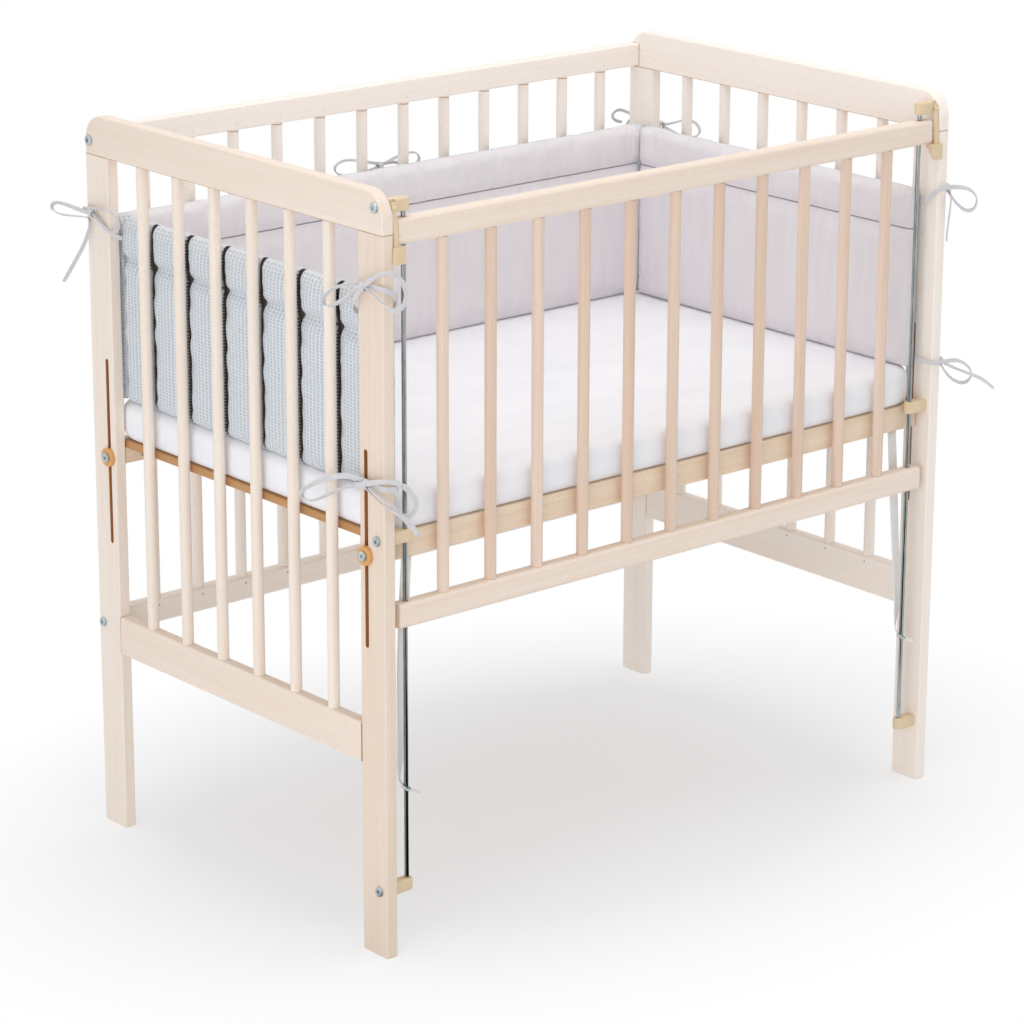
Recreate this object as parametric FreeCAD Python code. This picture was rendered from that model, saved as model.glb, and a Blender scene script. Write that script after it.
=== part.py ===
"""Bedside sleeper crib with a drop side, guide rods, a height-adjustable base, a mattress and a tied liner.

Millimetres. X runs from the left end to the right end, Y from the drop side (front) to the back, Z up.
Everything is drawn from the left end's outer face (X = 0), the front face of the front posts (Y = 0) and the
floor (Z = 0). export() then moves it, so that the origin is on the floor under the middle of the crib.
"""
import FreeCAD, Part
import math
import os

V = FreeCAD.Vector
os.makedirs("parts", exist_ok=True)

# ---------------------------------------------------------------- driving dimensions
LENGTH = 960.0
DEPTH = 610.0
HEIGHT = 970.0
BOARD = 17.0                # thickness of posts and end rails
EDGE = 2.5                  # eased edge of the wood

POST_W = 48.0
TOP_RAIL_H = 52.0
TOP_CORNER_R = 35.0
LOW_RAIL_Z = 248.0
LOW_RAIL_H = 52.0

SPINDLE_D = 15.0
TENON_D = 10.0
TENON_L = 14.0
END_SPINDLES = 6
END_FIRST = 113.0           # first spindle's axis in from the outer plane
REAR_SPINDLES = 12
REAR_FIRST = 83.5
DROP_SPINDLES = 11
DROP_FIRST = 102.0

RAIL_T = 20.0               # thickness of rear, drop-side and base rails
RAIL_H = 32.0
REAR_TOP_UP = 2.0           # rear top rail's underside above that of the end rails
REAR_LOW_Z = 268.0
REAR_BOLT_IN = 10.0         # bolt line in from the rear plane

GUIDE_Y = 14.0              # guide rods, brackets and drop side share this line
ROD_D = 6.0
ROD_IN = 25.5               # rod axis in from the post's inner face
ROD_HOLE_D = 8.0
BRACKET_W = 14.5
BRACKET_H = 16.0
BRACKET_EDGE = 2.0
TOP_BRACKET_DOWN = 28.0     # top bracket's underside below the top of the crib
MID_BRACKET_Z = 533.0
LOW_BRACKET_Z = 79.0
ROD_SEAT = 12.0             # how far the rod goes into the top and bottom brackets

DROP_END_GAP = 10.0         # drop side's end to the post's inner face
DROP_HEADROOM = 8.0         # drop side's top to the top bracket
DROP_LOW_Z = 425.0

TONGUE_W = 7.0
TONGUE_T = 3.0
TONGUE_IN = 1.0             # tongue's side to the post's inner face
KNUCKLE_D = 6.0
LATCH_HORN = 7.0            # tongue above its hinge line
LATCH_ROOM = 0.5            # notch in the top bracket about the knuckle
LATCH_PIN_D = 2.6
LATCH_Y = 5.9               # latch hinge line
CATCH_FRONT_Y = -4.5
CATCH_H = 20.5
CATCH_REAR_H = 10.5
WEDGE_DEEP = 12.0           # wedge beside the drop rail's end, behind the rail's front
WEDGE_REAR_H = 6.0
WEDGE_GAP = 1.0             # wedge to the drop rail's end
CATCH_W_OUT = 2.0           # how far the catch laps over the post's front
CATCH_W_IN = 6.0            # how far it laps over the drop rail
CATCH_FACE = 4.0            # thickness of the catch in front of the post
CATCH_RISE = 4.0            # how much its underside rises over that thickness
CATCH_SET = 3.5             # tongue behind the catch's front
CATCH_GAP = 0.4             # catch to the drop rail
CATCH_ROUND = 1.5

SLOT_Y = 35.0
SLOT_W = 7.0
SLOT_LOW = 400.0
SLOT_TOP = 651.5
BASE_Z = 508.0
BASE_END_GAP = 1.5
BASE_BOLT_UP = 10.5         # bolt line above the underside of the base rails
SLAT_W = 70.0
SLAT_T = 10.0
SLATS = 7
REBATE = 10.0
SLAT_SCREW_IN = 5.0         # slat screw in from the rail's inner face

BOLT_D = 6.0
HEAD_D = 13.0
HEAD_T = 3.0
SOCKET_AF = 4.0
SOCKET_DEEP = 2.0
WASHER_D = 25.0
WASHER_T = 5.0
NUT_D = 10.0
NUT_L = 14.0
NUT_IN = 28.0               # barrel nut in from the end of its rail
BOLT_PAST_NUT = 8.0
BRACKET_BOLT_IN = 15.0
DOWEL_D = 8.0
DOWEL_L = 24.0
DOWEL_SPREAD = 11.0         # dowels either side of a joint's middle
BRAD_D = 2.6
BRAD_L = 3.0

MATTRESS_T = 52.0
MATTRESS_R = 14.0
MATTRESS_END_GAP = 2.0
MATTRESS_FRONT_Y = 25.5
MATTRESS_BACK_GAP = 4.5     # mattress to the rear spindles
SHEET_T = 1.2
SHEET_TUCK = 60.0           # fitted sheet turned under the mattress

LINER_H = 247.0
LINER_T = 27.0
LINER_ROLL_H = 55.0         # padded roll above the seam
LINER_GROOVE = 4.0
LINER_CROWN = 2.0
LINER_PUFF = 6.0            # how far the pads swell out between the spindles
LINER_PUFF_SIDE = 6.0       # pad kept clear of each spindle
LINER_GAP = 1.6             # pad to the posts and spindles
LINER_FRONT_Y = 25.0

TIE_D = 4.0
STRAP_W = 16.0
STRAP_T = 1.6
STRAP_LEFT_IN = 60.0        # where each strap leaves the base's front rail, in from the outer plane
STRAP_RIGHT_IN = 55.0
STRAP_FORWARD = 2.0         # strap in front of the rail's middle
EYELET_Z = 214.0            # eyelets on the guide rods
EYELET_R = 7.0
EYELET_NECK_R = 5.6
EYELET_BORE_R = 5.0
EYELET_FLANGE_T = 0.5
EYELET_REACH = 9.0          # flat stretch of the strap each side of the eyelet
TAB_L = 10.0

FIT = 0.1                   # clearance around pins, tenons and dowels
SEAT = 0.1                  # gap left under a shoulder or head that seats
BORE_FIT = 0.2              # clearance around a bolt or rod in its hole
SOFT_GAP = 0.3

# ---------------------------------------------------------------- derived places
POST_TOP = HEIGHT - TOP_RAIL_H
REAR_TOP_Z = POST_TOP + REAR_TOP_UP
TOP_BRACKET_Z = HEIGHT - TOP_BRACKET_DOWN
DROP_TOP_Z = TOP_BRACKET_Z - DROP_HEADROOM - RAIL_H
MID_X = LENGTH / 2
HALF_BOARD = BOARD / 2
REAR_Y = DEPTH - RAIL_T
REAR_BOLT_Y = DEPTH - REAR_BOLT_IN
REAR_SPINDLE_Y = DEPTH - RAIL_T / 2
ROD_X = BOARD + ROD_IN
DROP_X = BOARD + DROP_END_GAP
DROP_Y = GUIDE_Y - RAIL_T / 2
BASE_X = BOARD + BASE_END_GAP
BASE_FRONT_Y = SLOT_Y - RAIL_T / 2
BASE_TOP = BASE_Z + RAIL_H
BASE_BOLT_Z = BASE_Z + BASE_BOLT_UP
MATTRESS_TOP = BASE_TOP + MATTRESS_T
MATTRESS_X = BOARD + MATTRESS_END_GAP
MATTRESS_BACK_Y = REAR_SPINDLE_Y - SPINDLE_D / 2 - MATTRESS_BACK_GAP
LINER_Z = MATTRESS_TOP + SOFT_GAP
LINER_TOP = LINER_Z + LINER_H
LINER_X = BOARD + LINER_GAP
LINER_BACK_Y = REAR_SPINDLE_Y - SPINDLE_D / 2 - LINER_GAP
FRAME_SHIFT = V(-MID_X, -(DEPTH + CATCH_FRONT_Y) / 2, 0)


# ---------------------------------------------------------------- helpers
def box(x0, x1, y0, y1, z0, z1):
    return Part.makeBox(x1 - x0, y1 - y0, z1 - z0, V(x0, y0, z0))


def rod(radius, start, direction, length):
    return Part.makeCylinder(radius, length, start, direction)


def edges_along(shape, axis):
    """Straight edges of the shape that run along the axis "x", "y" or "z"."""
    direction = {"x": V(1, 0, 0), "y": V(0, 1, 0), "z": V(0, 0, 1)}[axis]
    picked = []
    for edge in shape.Edges:
        if isinstance(edge.Curve, Part.Line) and abs(edge.Curve.Direction.dot(direction)) > 0.999:
            picked.append(edge)
    return picked


def eased_box(x0, x1, y0, y1, z0, z1, axis, radius=EDGE):
    """A board whose four long edges, along the axis, are rounded."""
    board = box(x0, x1, y0, y1, z0, z1)
    return board.makeFillet(radius, edges_along(board, axis))


def mirrored(shape):
    """The same piece at the right end."""
    return shape.mirror(V(MID_X, 0, 0), V(1, 0, 0))


def spaced(count, first, whole):
    """Evenly spaced places along a side; the first and last stand in by the same amount."""
    pitch = (whole - 2 * first) / (count - 1)
    return [first + i * pitch for i in range(count)]


def drill(shape, holes):
    for hole in holes:
        shape = shape.cut(hole)
    return shape


def export(name, shapes):
    """Write one node, moved to the shared origin."""
    if not isinstance(shapes, list):
        shapes = [shapes]
    solids = []
    for shape in shapes:
        solids.extend(shape.Solids)
    body = solids[0] if len(solids) == 1 else Part.makeCompound(solids)
    body = body.copy()
    body.translate(FRAME_SHIFT)
    body.exportStep("parts/%s.step" % name)


# ---------------------------------------------------------------- fasteners
def furniture_bolt(start, direction, length):
    """Flat round-headed bolt; start is under the head, and the hexagonal socket faces back."""
    head = rod(HEAD_D / 2, start - direction * HEAD_T, direction, HEAD_T)
    rim = [e for e in head.Edges if isinstance(e.Curve, Part.Circle)
           and (e.CenterOfMass - start).dot(direction) < -HEAD_T / 2]
    head = head.makeFillet(HEAD_T * 0.4, rim)
    shank = rod(BOLT_D / 2, start, direction, length)
    tip = [e for e in shank.Edges if isinstance(e.Curve, Part.Circle)
           and (e.CenterOfMass - start).dot(direction) > length / 2]
    shank = shank.makeChamfer(BOLT_D * 0.12, tip)
    side = V(0, 0, 1)
    across = direction.cross(side)
    corners = []
    for i in range(7):
        angle = math.radians(60 * i)
        reach = SOCKET_AF / math.sqrt(3)
        corners.append(start - direction * HEAD_T + side * (reach * math.cos(angle))
                       + across * (reach * math.sin(angle)))
    socket = Part.Face(Part.makePolygon(corners)).extrude(direction * SOCKET_DEEP)
    return head.fuse(shank).cut(socket).removeSplitter()


def bolt_hole(start, direction, length):
    return rod(BOLT_D / 2 + BORE_FIT, start, direction, length)


def barrel_nut(mouth, direction, depth, bolt_start, bolt_direction, bolt_length):
    """Cross nut seated at depth in a hole that starts at mouth; the bolt goes through it."""
    nut = rod(NUT_D / 2, mouth + direction * (depth - NUT_L), direction, NUT_L)
    return nut.cut(bolt_hole(bolt_start, bolt_direction, bolt_length))


def barrel_hole(mouth, direction, depth):
    return rod(NUT_D / 2 + FIT, mouth - direction, direction, depth + 1 + SEAT)


# ---------------------------------------------------------------- spindles
def spindle(x, y, z_low, z_high):
    """Turned spindle between two rails, with a shouldered tenon at each end."""
    body = rod(SPINDLE_D / 2, V(x, y, z_low + SEAT), V(0, 0, 1), z_high - z_low - 2 * SEAT)
    tenons = rod(TENON_D / 2, V(x, y, z_low - TENON_L), V(0, 0, 1), z_high - z_low + 2 * TENON_L)
    return body.fuse(tenons)


def mortise(x, y, z_face, up):
    """Socket for a tenon, drilled from the rail's face."""
    start = V(x, y, z_face - up)
    return rod(TENON_D / 2 + FIT, start, V(0, 0, up), TENON_L + 1 + SEAT)


def brad_hole(x, y, z, direction):
    start = V(x, y, z) - direction
    return rod(BRAD_D / 2 + FIT / 2, start, direction, BRAD_L + 1 + SEAT)


def brad(x, y, z, direction):
    return rod(BRAD_D / 2, V(x, y, z), direction, BRAD_L)


# ---------------------------------------------------------------- end panels
END_YS = spaced(END_SPINDLES, END_FIRST, DEPTH)
REAR_XS = spaced(REAR_SPINDLES, REAR_FIRST, LENGTH)
DROP_XS = spaced(DROP_SPINDLES, DROP_FIRST, LENGTH)
LOW_RAIL_TOP = LOW_RAIL_Z + LOW_RAIL_H
BRACKET_ZS = [TOP_BRACKET_Z, MID_BRACKET_Z, LOW_BRACKET_Z]
REAR_RAIL_ZS = [REAR_LOW_Z, REAR_TOP_Z]
BRAD_RISE = 8.0             # brad from the rail's face
OUT = V(-1, 0, 0)
IN = V(1, 0, 0)
BACK = V(0, 1, 0)
UP = V(0, 0, 1)


def joint_dowels():
    """Left end's dowels: two up into the top rail and two into the low rail, at each post."""
    pegs = []
    for post_y in (POST_W / 2, DEPTH - POST_W / 2):
        for step in (-DOWEL_SPREAD, DOWEL_SPREAD):
            pegs.append((V(HALF_BOARD, post_y + step, POST_TOP - DOWEL_L / 2), UP))
    for joint_y in (POST_W, DEPTH - POST_W):
        for step in (-DOWEL_SPREAD, DOWEL_SPREAD):
            z = LOW_RAIL_Z + LOW_RAIL_H / 2 + step
            pegs.append((V(HALF_BOARD, joint_y - DOWEL_L / 2, z), BACK))
    return pegs


def dowel_holes():
    holes = []
    for start, direction in joint_dowels():
        holes.append(rod(DOWEL_D / 2 + FIT, start - direction * SEAT, direction, DOWEL_L + 2 * SEAT))
    return holes


def height_slot(y):
    """Long slot through a post, for the base's height bolt."""
    radius = SLOT_W / 2
    low = SLOT_LOW + radius
    top = SLOT_TOP - radius
    cut = box(-1, BOARD + 1, y - radius, y + radius, low, top)
    for z in (low, top):
        cut = cut.fuse(rod(radius, V(-1, y, z), IN, BOARD + 2))
    return cut


def left_post(front):
    y0 = 0 if front else DEPTH - POST_W
    slot_y = SLOT_Y if front else DEPTH - SLOT_Y
    post = eased_box(0, BOARD, y0, y0 + POST_W, 0, POST_TOP - SEAT, "z")
    foot = [e for e in post.Edges if abs(e.BoundBox.ZMax) < 0.01]
    post = post.makeChamfer(1.0, foot)
    post = drill(post, [height_slot(slot_y)] + dowel_holes())
    if front:
        for z in (MID_BRACKET_Z, LOW_BRACKET_Z):
            post = post.cut(bolt_hole(V(-1, GUIDE_Y, z + BRACKET_H / 2), IN, BOARD + 2))
    else:
        post = post.cut(bolt_hole(V(-1, REAR_BOLT_Y, REAR_LOW_Z + RAIL_H / 2), IN, BOARD + 2))
    return post


def left_top_rail():
    """Top rail with large round corners, eased all round."""
    board = box(0, BOARD, 0, DEPTH, POST_TOP, HEIGHT)
    corners = [e for e in edges_along(board, "x") if e.CenterOfMass.z > HEIGHT - 1]
    board = board.makeFillet(TOP_CORNER_R, corners)
    rim = []
    for edge in board.Edges:
        on_face = edge.BoundBox.XLength < 0.01
        if on_face and edge.BoundBox.ZMax > POST_TOP + 0.01:
            rim.append(edge)
    board = board.makeFillet(EDGE, rim)
    holes = dowel_holes() + [mortise(HALF_BOARD, y, POST_TOP, 1) for y in END_YS]
    holes.append(bolt_hole(V(-1, GUIDE_Y, TOP_BRACKET_Z + BRACKET_H / 2), IN, BOARD + 2))
    holes.append(bolt_hole(V(-1, REAR_BOLT_Y, REAR_TOP_Z + RAIL_H / 2), IN, BOARD + 2))
    holes += [brad_hole(BOARD, y, POST_TOP + BRAD_RISE, OUT) for y in END_YS]
    holes.append(latch_pin_hole())
    return drill(board, holes)


def left_low_rail():
    rail = eased_box(0, BOARD, POST_W + SEAT, DEPTH - POST_W - SEAT, LOW_RAIL_Z, LOW_RAIL_TOP, "y")
    holes = dowel_holes() + [mortise(HALF_BOARD, y, LOW_RAIL_TOP, -1) for y in END_YS]
    holes += [brad_hole(BOARD, y, LOW_RAIL_TOP - BRAD_RISE, OUT) for y in END_YS]
    return drill(rail, holes)


def left_spindles():
    return [spindle(HALF_BOARD, y, LOW_RAIL_TOP, POST_TOP) for y in END_YS]


def left_brads():
    pins = [brad(BOARD, y, POST_TOP + BRAD_RISE, OUT) for y in END_YS]
    return pins + [brad(BOARD, y, LOW_RAIL_TOP - BRAD_RISE, OUT) for y in END_YS]


def left_dowels():
    return [rod(DOWEL_D / 2, start, direction, DOWEL_L) for start, direction in joint_dowels()]


# ---------------------------------------------------------------- rear panel
REAR_NUT_DEEP = RAIL_T - 3


def rear_bolt_start(z):
    return V(-SEAT, REAR_BOLT_Y, z + RAIL_H / 2)


REAR_BOLT_L = BOARD + NUT_IN + BOLT_PAST_NUT


def rear_rail(z):
    x0 = BOARD + SEAT
    rail = eased_box(x0, LENGTH - x0, REAR_Y, DEPTH, z, z + RAIL_H, "x")
    is_top = z == REAR_TOP_Z
    face = z if is_top else z + RAIL_H
    up = 1 if is_top else -1
    holes = [mortise(x, REAR_SPINDLE_Y, face, up) for x in REAR_XS]
    holes += [brad_hole(x, REAR_Y, face + up * BRAD_RISE, BACK) for x in REAR_XS]
    bolt = bolt_hole(rear_bolt_start(z), IN, REAR_BOLT_L + 1)
    nut = barrel_hole(V(BOARD + NUT_IN, DEPTH, z + RAIL_H / 2), -BACK, REAR_NUT_DEEP)
    holes += [bolt, mirrored(bolt), nut, mirrored(nut)]
    return drill(rail, holes)


def rear_spindles():
    return [spindle(x, REAR_SPINDLE_Y, REAR_LOW_Z + RAIL_H, REAR_TOP_Z) for x in REAR_XS]


def rear_brads():
    pins = [brad(x, REAR_Y, REAR_TOP_Z + BRAD_RISE, BACK) for x in REAR_XS]
    return pins + [brad(x, REAR_Y, REAR_LOW_Z + RAIL_H - BRAD_RISE, BACK) for x in REAR_XS]


def rear_bolts():
    left = [furniture_bolt(rear_bolt_start(z), IN, REAR_BOLT_L) for z in REAR_RAIL_ZS]
    return left + [mirrored(bolt) for bolt in left]


def rear_nuts():
    left = []
    for z in REAR_RAIL_ZS:
        mouth = V(BOARD + NUT_IN, DEPTH, z + RAIL_H / 2)
        left.append(barrel_nut(mouth, -BACK, REAR_NUT_DEEP, rear_bolt_start(z), IN, REAR_BOLT_L + 1))
    return left + [mirrored(nut) for nut in left]


# ---------------------------------------------------------------- guide rods, brackets and latches
def bracket(z, through):
    """Left bracket: a block on the post with a round nose about the guide rod."""
    half = BRACKET_W / 2
    x0 = BOARD + SEAT
    front = V(x0, GUIDE_Y - half, z)
    front_end = V(ROD_X, GUIDE_Y - half, z)
    nose = V(ROD_X + half, GUIDE_Y, z)
    back_end = V(ROD_X, GUIDE_Y + half, z)
    back = V(x0, GUIDE_Y + half, z)
    outline = Part.Wire([Part.LineSegment(front, front_end).toShape(), Part.Arc(front_end, nose, back_end).toShape(),
                         Part.LineSegment(back_end, back).toShape(), Part.LineSegment(back, front).toShape()])
    body = Part.Face(outline).extrude(V(0, 0, BRACKET_H))
    rims = [e for e in body.Edges if e.BoundBox.ZLength < 0.01 and e.BoundBox.XMax > x0 + 0.01]
    body = body.makeFillet(BRACKET_EDGE, rims)
    bore_low, bore_high = through
    body = body.cut(rod(ROD_D / 2 + FIT, V(ROD_X, GUIDE_Y, bore_low), UP, bore_high - bore_low))
    return body.cut(bolt_hole(V(0, GUIDE_Y, z + BRACKET_H / 2), IN, BOARD + BRACKET_BOLT_IN + 1))


ROD_LOW = LOW_BRACKET_Z + BRACKET_H - ROD_SEAT
ROD_HIGH = TOP_BRACKET_Z + ROD_SEAT


def latch_room():
    """Notch at the front of the top bracket, in which the catch's knuckle turns."""
    front = GUIDE_Y - BRACKET_W
    rear = LATCH_Y + KNUCKLE_D / 2 + LATCH_ROOM
    return box(BOARD, TONGUE_X + TONGUE_W + LATCH_ROOM, front, rear, TOP_BRACKET_Z - 1, TOP_BRACKET_Z + BRACKET_H + 1)


def left_brackets():
    """Top, middle and bottom bracket; the rod stops inside the outer two."""
    return {
        "top": bracket(TOP_BRACKET_Z, (TOP_BRACKET_Z - 1, ROD_HIGH + SEAT)).cut(latch_room()),
        "mid": bracket(MID_BRACKET_Z, (MID_BRACKET_Z - 1, MID_BRACKET_Z + BRACKET_H + 1)),
        "bottom": bracket(LOW_BRACKET_Z, (ROD_LOW - SEAT, LOW_BRACKET_Z + BRACKET_H + 1)),
    }


def guide_rod():
    return rod(ROD_D / 2, V(ROD_X, GUIDE_Y, ROD_LOW), UP, ROD_HIGH - ROD_LOW)


def bracket_bolts():
    left = []
    for z in BRACKET_ZS:
        start = V(-SEAT, GUIDE_Y, z + BRACKET_H / 2)
        left.append(furniture_bolt(start, IN, BOARD + BRACKET_BOLT_IN))
    return left + [mirrored(bolt) for bolt in left]


LATCH_Z = TOP_BRACKET_Z + KNUCKLE_D
TONGUE_X = BOARD + TONGUE_IN
LATCH_PIN_X = BOARD / 2
CATCH_BACK_Y = DROP_Y - CATCH_GAP


def latch_pin_hole():
    return rod(LATCH_PIN_D / 2 + FIT / 2, V(LATCH_PIN_X - SEAT, LATCH_Y, LATCH_Z), IN, BOARD)


def latch_pin():
    return rod(LATCH_PIN_D / 2, V(LATCH_PIN_X, LATCH_Y, LATCH_Z), IN, TONGUE_X + TONGUE_W - LATCH_PIN_X)


def latch():
    """Left catch: a knuckle on its pin, a tongue that leans forward, and a block with a wedge at its lower end."""
    x0 = TONGUE_X
    x1 = TONGUE_X + TONGUE_W
    knuckle = rod(KNUCKLE_D / 2, V(x0, LATCH_Y, LATCH_Z), IN, TONGUE_W)
    low_z = DROP_TOP_Z - CATCH_H / 3
    low_front = CATCH_FRONT_Y + CATCH_SET
    half = TONGUE_T / 2
    horn_z = LATCH_Z + LATCH_HORN
    side = [V(x0, LATCH_Y - half, horn_z), V(x0, LATCH_Y + half, horn_z), V(x0, LATCH_Y + half, LATCH_Z),
            V(x0, low_front + TONGUE_T, low_z), V(x0, low_front, low_z), V(x0, LATCH_Y - half, LATCH_Z),
            V(x0, LATCH_Y - half, horn_z)]
    tongue = Part.Face(Part.makePolygon(side)).extrude(V(TONGUE_W, 0, 0))
    tongue = tongue.makeFillet(half / 2, [e for e in edges_along(tongue, "x") if e.CenterOfMass.z > horn_z - 1])
    top = DROP_TOP_Z
    face_y = CATCH_FRONT_Y + CATCH_FACE
    rise_z = top - CATCH_H + CATCH_RISE
    wide = [V(0, CATCH_FRONT_Y, top), V(0, face_y, top), V(0, face_y, rise_z),
            V(0, CATCH_FRONT_Y, top - CATCH_H), V(0, CATCH_FRONT_Y, top)]
    block_x0 = BOARD - CATCH_W_OUT
    block_x1 = DROP_X + CATCH_W_IN
    plate = Part.Face(Part.makePolygon([p + V(block_x0, 0, 0) for p in wide])).extrude(V(block_x1 - block_x0, 0, 0))
    corners = [e for e in edges_along(plate, "z") if e.CenterOfMass.y < (face_y + CATCH_FRONT_Y) / 2]
    plate = plate.makeFillet(CATCH_ROUND, corners)
    inside_y = face_y - CATCH_FACE / 4
    nose = [V(x0, inside_y, top), V(x0, CATCH_BACK_Y, top), V(x0, CATCH_BACK_Y, top - CATCH_REAR_H),
            V(x0, inside_y, rise_z), V(x0, inside_y, top)]
    block = Part.Face(Part.makePolygon(nose)).extrude(V(block_x1 - x0, 0, 0))
    wedge_y = DROP_Y + WEDGE_DEEP
    taper = [V(x0, inside_y, top), V(x0, wedge_y, top), V(x0, wedge_y, top - WEDGE_REAR_H),
             V(x0, inside_y, rise_z), V(x0, inside_y, top)]
    wedge = Part.Face(Part.makePolygon(taper)).extrude(V(DROP_X - WEDGE_GAP - x0, 0, 0))
    body = knuckle.fuse(tongue).fuse(plate).fuse(block).fuse(wedge).removeSplitter()
    return body.cut(rod(LATCH_PIN_D / 2 + FIT, V(x0 - 1, LATCH_Y, LATCH_Z), IN, TONGUE_W + 2))


# ---------------------------------------------------------------- drop side
def drop_rail(z):
    rail = eased_box(DROP_X, LENGTH - DROP_X, DROP_Y, DROP_Y + RAIL_T, z, z + RAIL_H, "x", 2 * EDGE)
    ends = [e for e in rail.Edges if e.BoundBox.XLength < 0.01]
    rail = rail.makeChamfer(1.0, ends)
    is_top = z == DROP_TOP_Z
    face = z if is_top else z + RAIL_H
    up = 1 if is_top else -1
    holes = [mortise(x, GUIDE_Y, face, up) for x in DROP_XS]
    holes += [brad_hole(x, DROP_Y + RAIL_T, face + up * BRAD_RISE, -BACK) for x in DROP_XS]
    for x in (ROD_X, LENGTH - ROD_X):
        holes.append(rod(ROD_HOLE_D / 2, V(x, GUIDE_Y, z - 1), UP, RAIL_H + 2))
    return drill(rail, holes)


def drop_spindles():
    return [spindle(x, GUIDE_Y, DROP_LOW_Z + RAIL_H, DROP_TOP_Z) for x in DROP_XS]


def drop_brads():
    pins = [brad(x, DROP_Y + RAIL_T, DROP_TOP_Z + BRAD_RISE, -BACK) for x in DROP_XS]
    return pins + [brad(x, DROP_Y + RAIL_T, DROP_LOW_Z + RAIL_H - BRAD_RISE, -BACK) for x in DROP_XS]


# ---------------------------------------------------------------- base
BASE_NUT_DEEP = RAIL_T - 3
BASE_BOLT_L = WASHER_T + BOARD + BASE_END_GAP + NUT_IN + BOLT_PAST_NUT
BASE_YS = [SLOT_Y, DEPTH - SLOT_Y]
SLAT_END_IN = MATTRESS_X
SLAT_STEP = (LENGTH - 2 * SLAT_END_IN - SLAT_W) / (SLATS - 1)
SLAT_XS = [SLAT_END_IN + SLAT_W / 2 + i * SLAT_STEP for i in range(SLATS)]
SCREW_D = 4.0
SCREW_HEAD_D = 8.0
SCREW_L = 22.0
SCREW_OFF = 16.0            # slat screws stand off the slat's middle, clear of the height bolts


def base_bolt_start(y):
    return V(-WASHER_T - 2 * SEAT, y, BASE_BOLT_Z)


def slat_screw_places():
    places = []
    for x in SLAT_XS:
        side = 1 if x < MID_X else -1
        for y in (BASE_FRONT_Y + RAIL_T - SLAT_SCREW_IN, DEPTH - BASE_FRONT_Y - RAIL_T + SLAT_SCREW_IN):
            places.append((x + side * SCREW_OFF, y))
    return places


def slat_screw(x, y, grow=0.0):
    """Countersunk screw, or its hole when it grows."""
    cone_h = (SCREW_HEAD_D - SCREW_D) / 2
    shank = rod(SCREW_D / 2 + grow, V(x, y, BASE_TOP - SCREW_L - grow), UP, SCREW_L - cone_h + grow)
    cone = Part.makeCone(SCREW_D / 2 + grow, SCREW_HEAD_D / 2 + grow, cone_h, V(x, y, BASE_TOP - cone_h), UP)
    return shank.fuse(cone)


def base_rail(front):
    """Long rail with a rebate for the slats and bolt holes in its ends."""
    y0 = BASE_FRONT_Y if front else DEPTH - BASE_FRONT_Y - RAIL_T
    rail = eased_box(BASE_X, LENGTH - BASE_X, y0, y0 + RAIL_T, BASE_Z, BASE_TOP, "x", 1.0)
    inner = y0 + RAIL_T if front else y0
    step = -1 if front else 1
    rebate_low = min(inner + step * REBATE, inner - step)
    rail = rail.cut(box(0, LENGTH, rebate_low, rebate_low + REBATE + 1, BASE_TOP - SLAT_T - SEAT, BASE_TOP + 1))
    bolt = bolt_hole(base_bolt_start(y0 + RAIL_T / 2), IN, BASE_BOLT_L + 1)
    nut = barrel_hole(V(BASE_X + NUT_IN, inner, BASE_BOLT_Z), BACK * step, BASE_NUT_DEEP)
    holes = [bolt, mirrored(bolt), nut, mirrored(nut)]
    holes += [slat_screw(x, y, FIT) for x, y in slat_screw_places()]
    return drill(rail, holes)


def base_slats():
    gap = 0.2
    y0 = BASE_FRONT_Y + RAIL_T - REBATE + gap
    y1 = DEPTH - y0
    slats = []
    for x in SLAT_XS:
        slat = eased_box(x - SLAT_W / 2, x + SLAT_W / 2, y0, y1, BASE_TOP - SLAT_T, BASE_TOP, "y", 1.0)
        holes = [slat_screw(sx, sy, FIT) for sx, sy in slat_screw_places() if abs(sx - x) < SLAT_W / 2]
        slats.append(drill(slat, holes))
    return slats


def base_bolts():
    left = [furniture_bolt(base_bolt_start(y), IN, BASE_BOLT_L) for y in BASE_YS]
    return left + [mirrored(bolt) for bolt in left]


def base_washers():
    """Thick wooden washers under the height bolts' heads."""
    left = []
    for y in BASE_YS:
        disc = rod(WASHER_D / 2, V(-WASHER_T - SEAT, y, BASE_BOLT_Z), IN, WASHER_T)
        rim = [e for e in disc.Edges if isinstance(e.Curve, Part.Circle) and e.CenterOfMass.x < -WASHER_T / 2]
        disc = disc.makeFillet(1.0, rim)
        left.append(disc.cut(bolt_hole(V(-2 * WASHER_T, y, BASE_BOLT_Z), IN, 3 * WASHER_T)))
    return left + [mirrored(disc) for disc in left]


def base_nuts():
    left = []
    for y, inner, step in ((SLOT_Y, SLOT_Y + RAIL_T / 2, -1), (DEPTH - SLOT_Y, DEPTH - SLOT_Y - RAIL_T / 2, 1)):
        mouth = V(BASE_X + NUT_IN, inner, BASE_BOLT_Z)
        left.append(barrel_nut(mouth, BACK * step, BASE_NUT_DEEP, base_bolt_start(y), IN, BASE_BOLT_L + 1))
    return left + [mirrored(nut) for nut in left]


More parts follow.
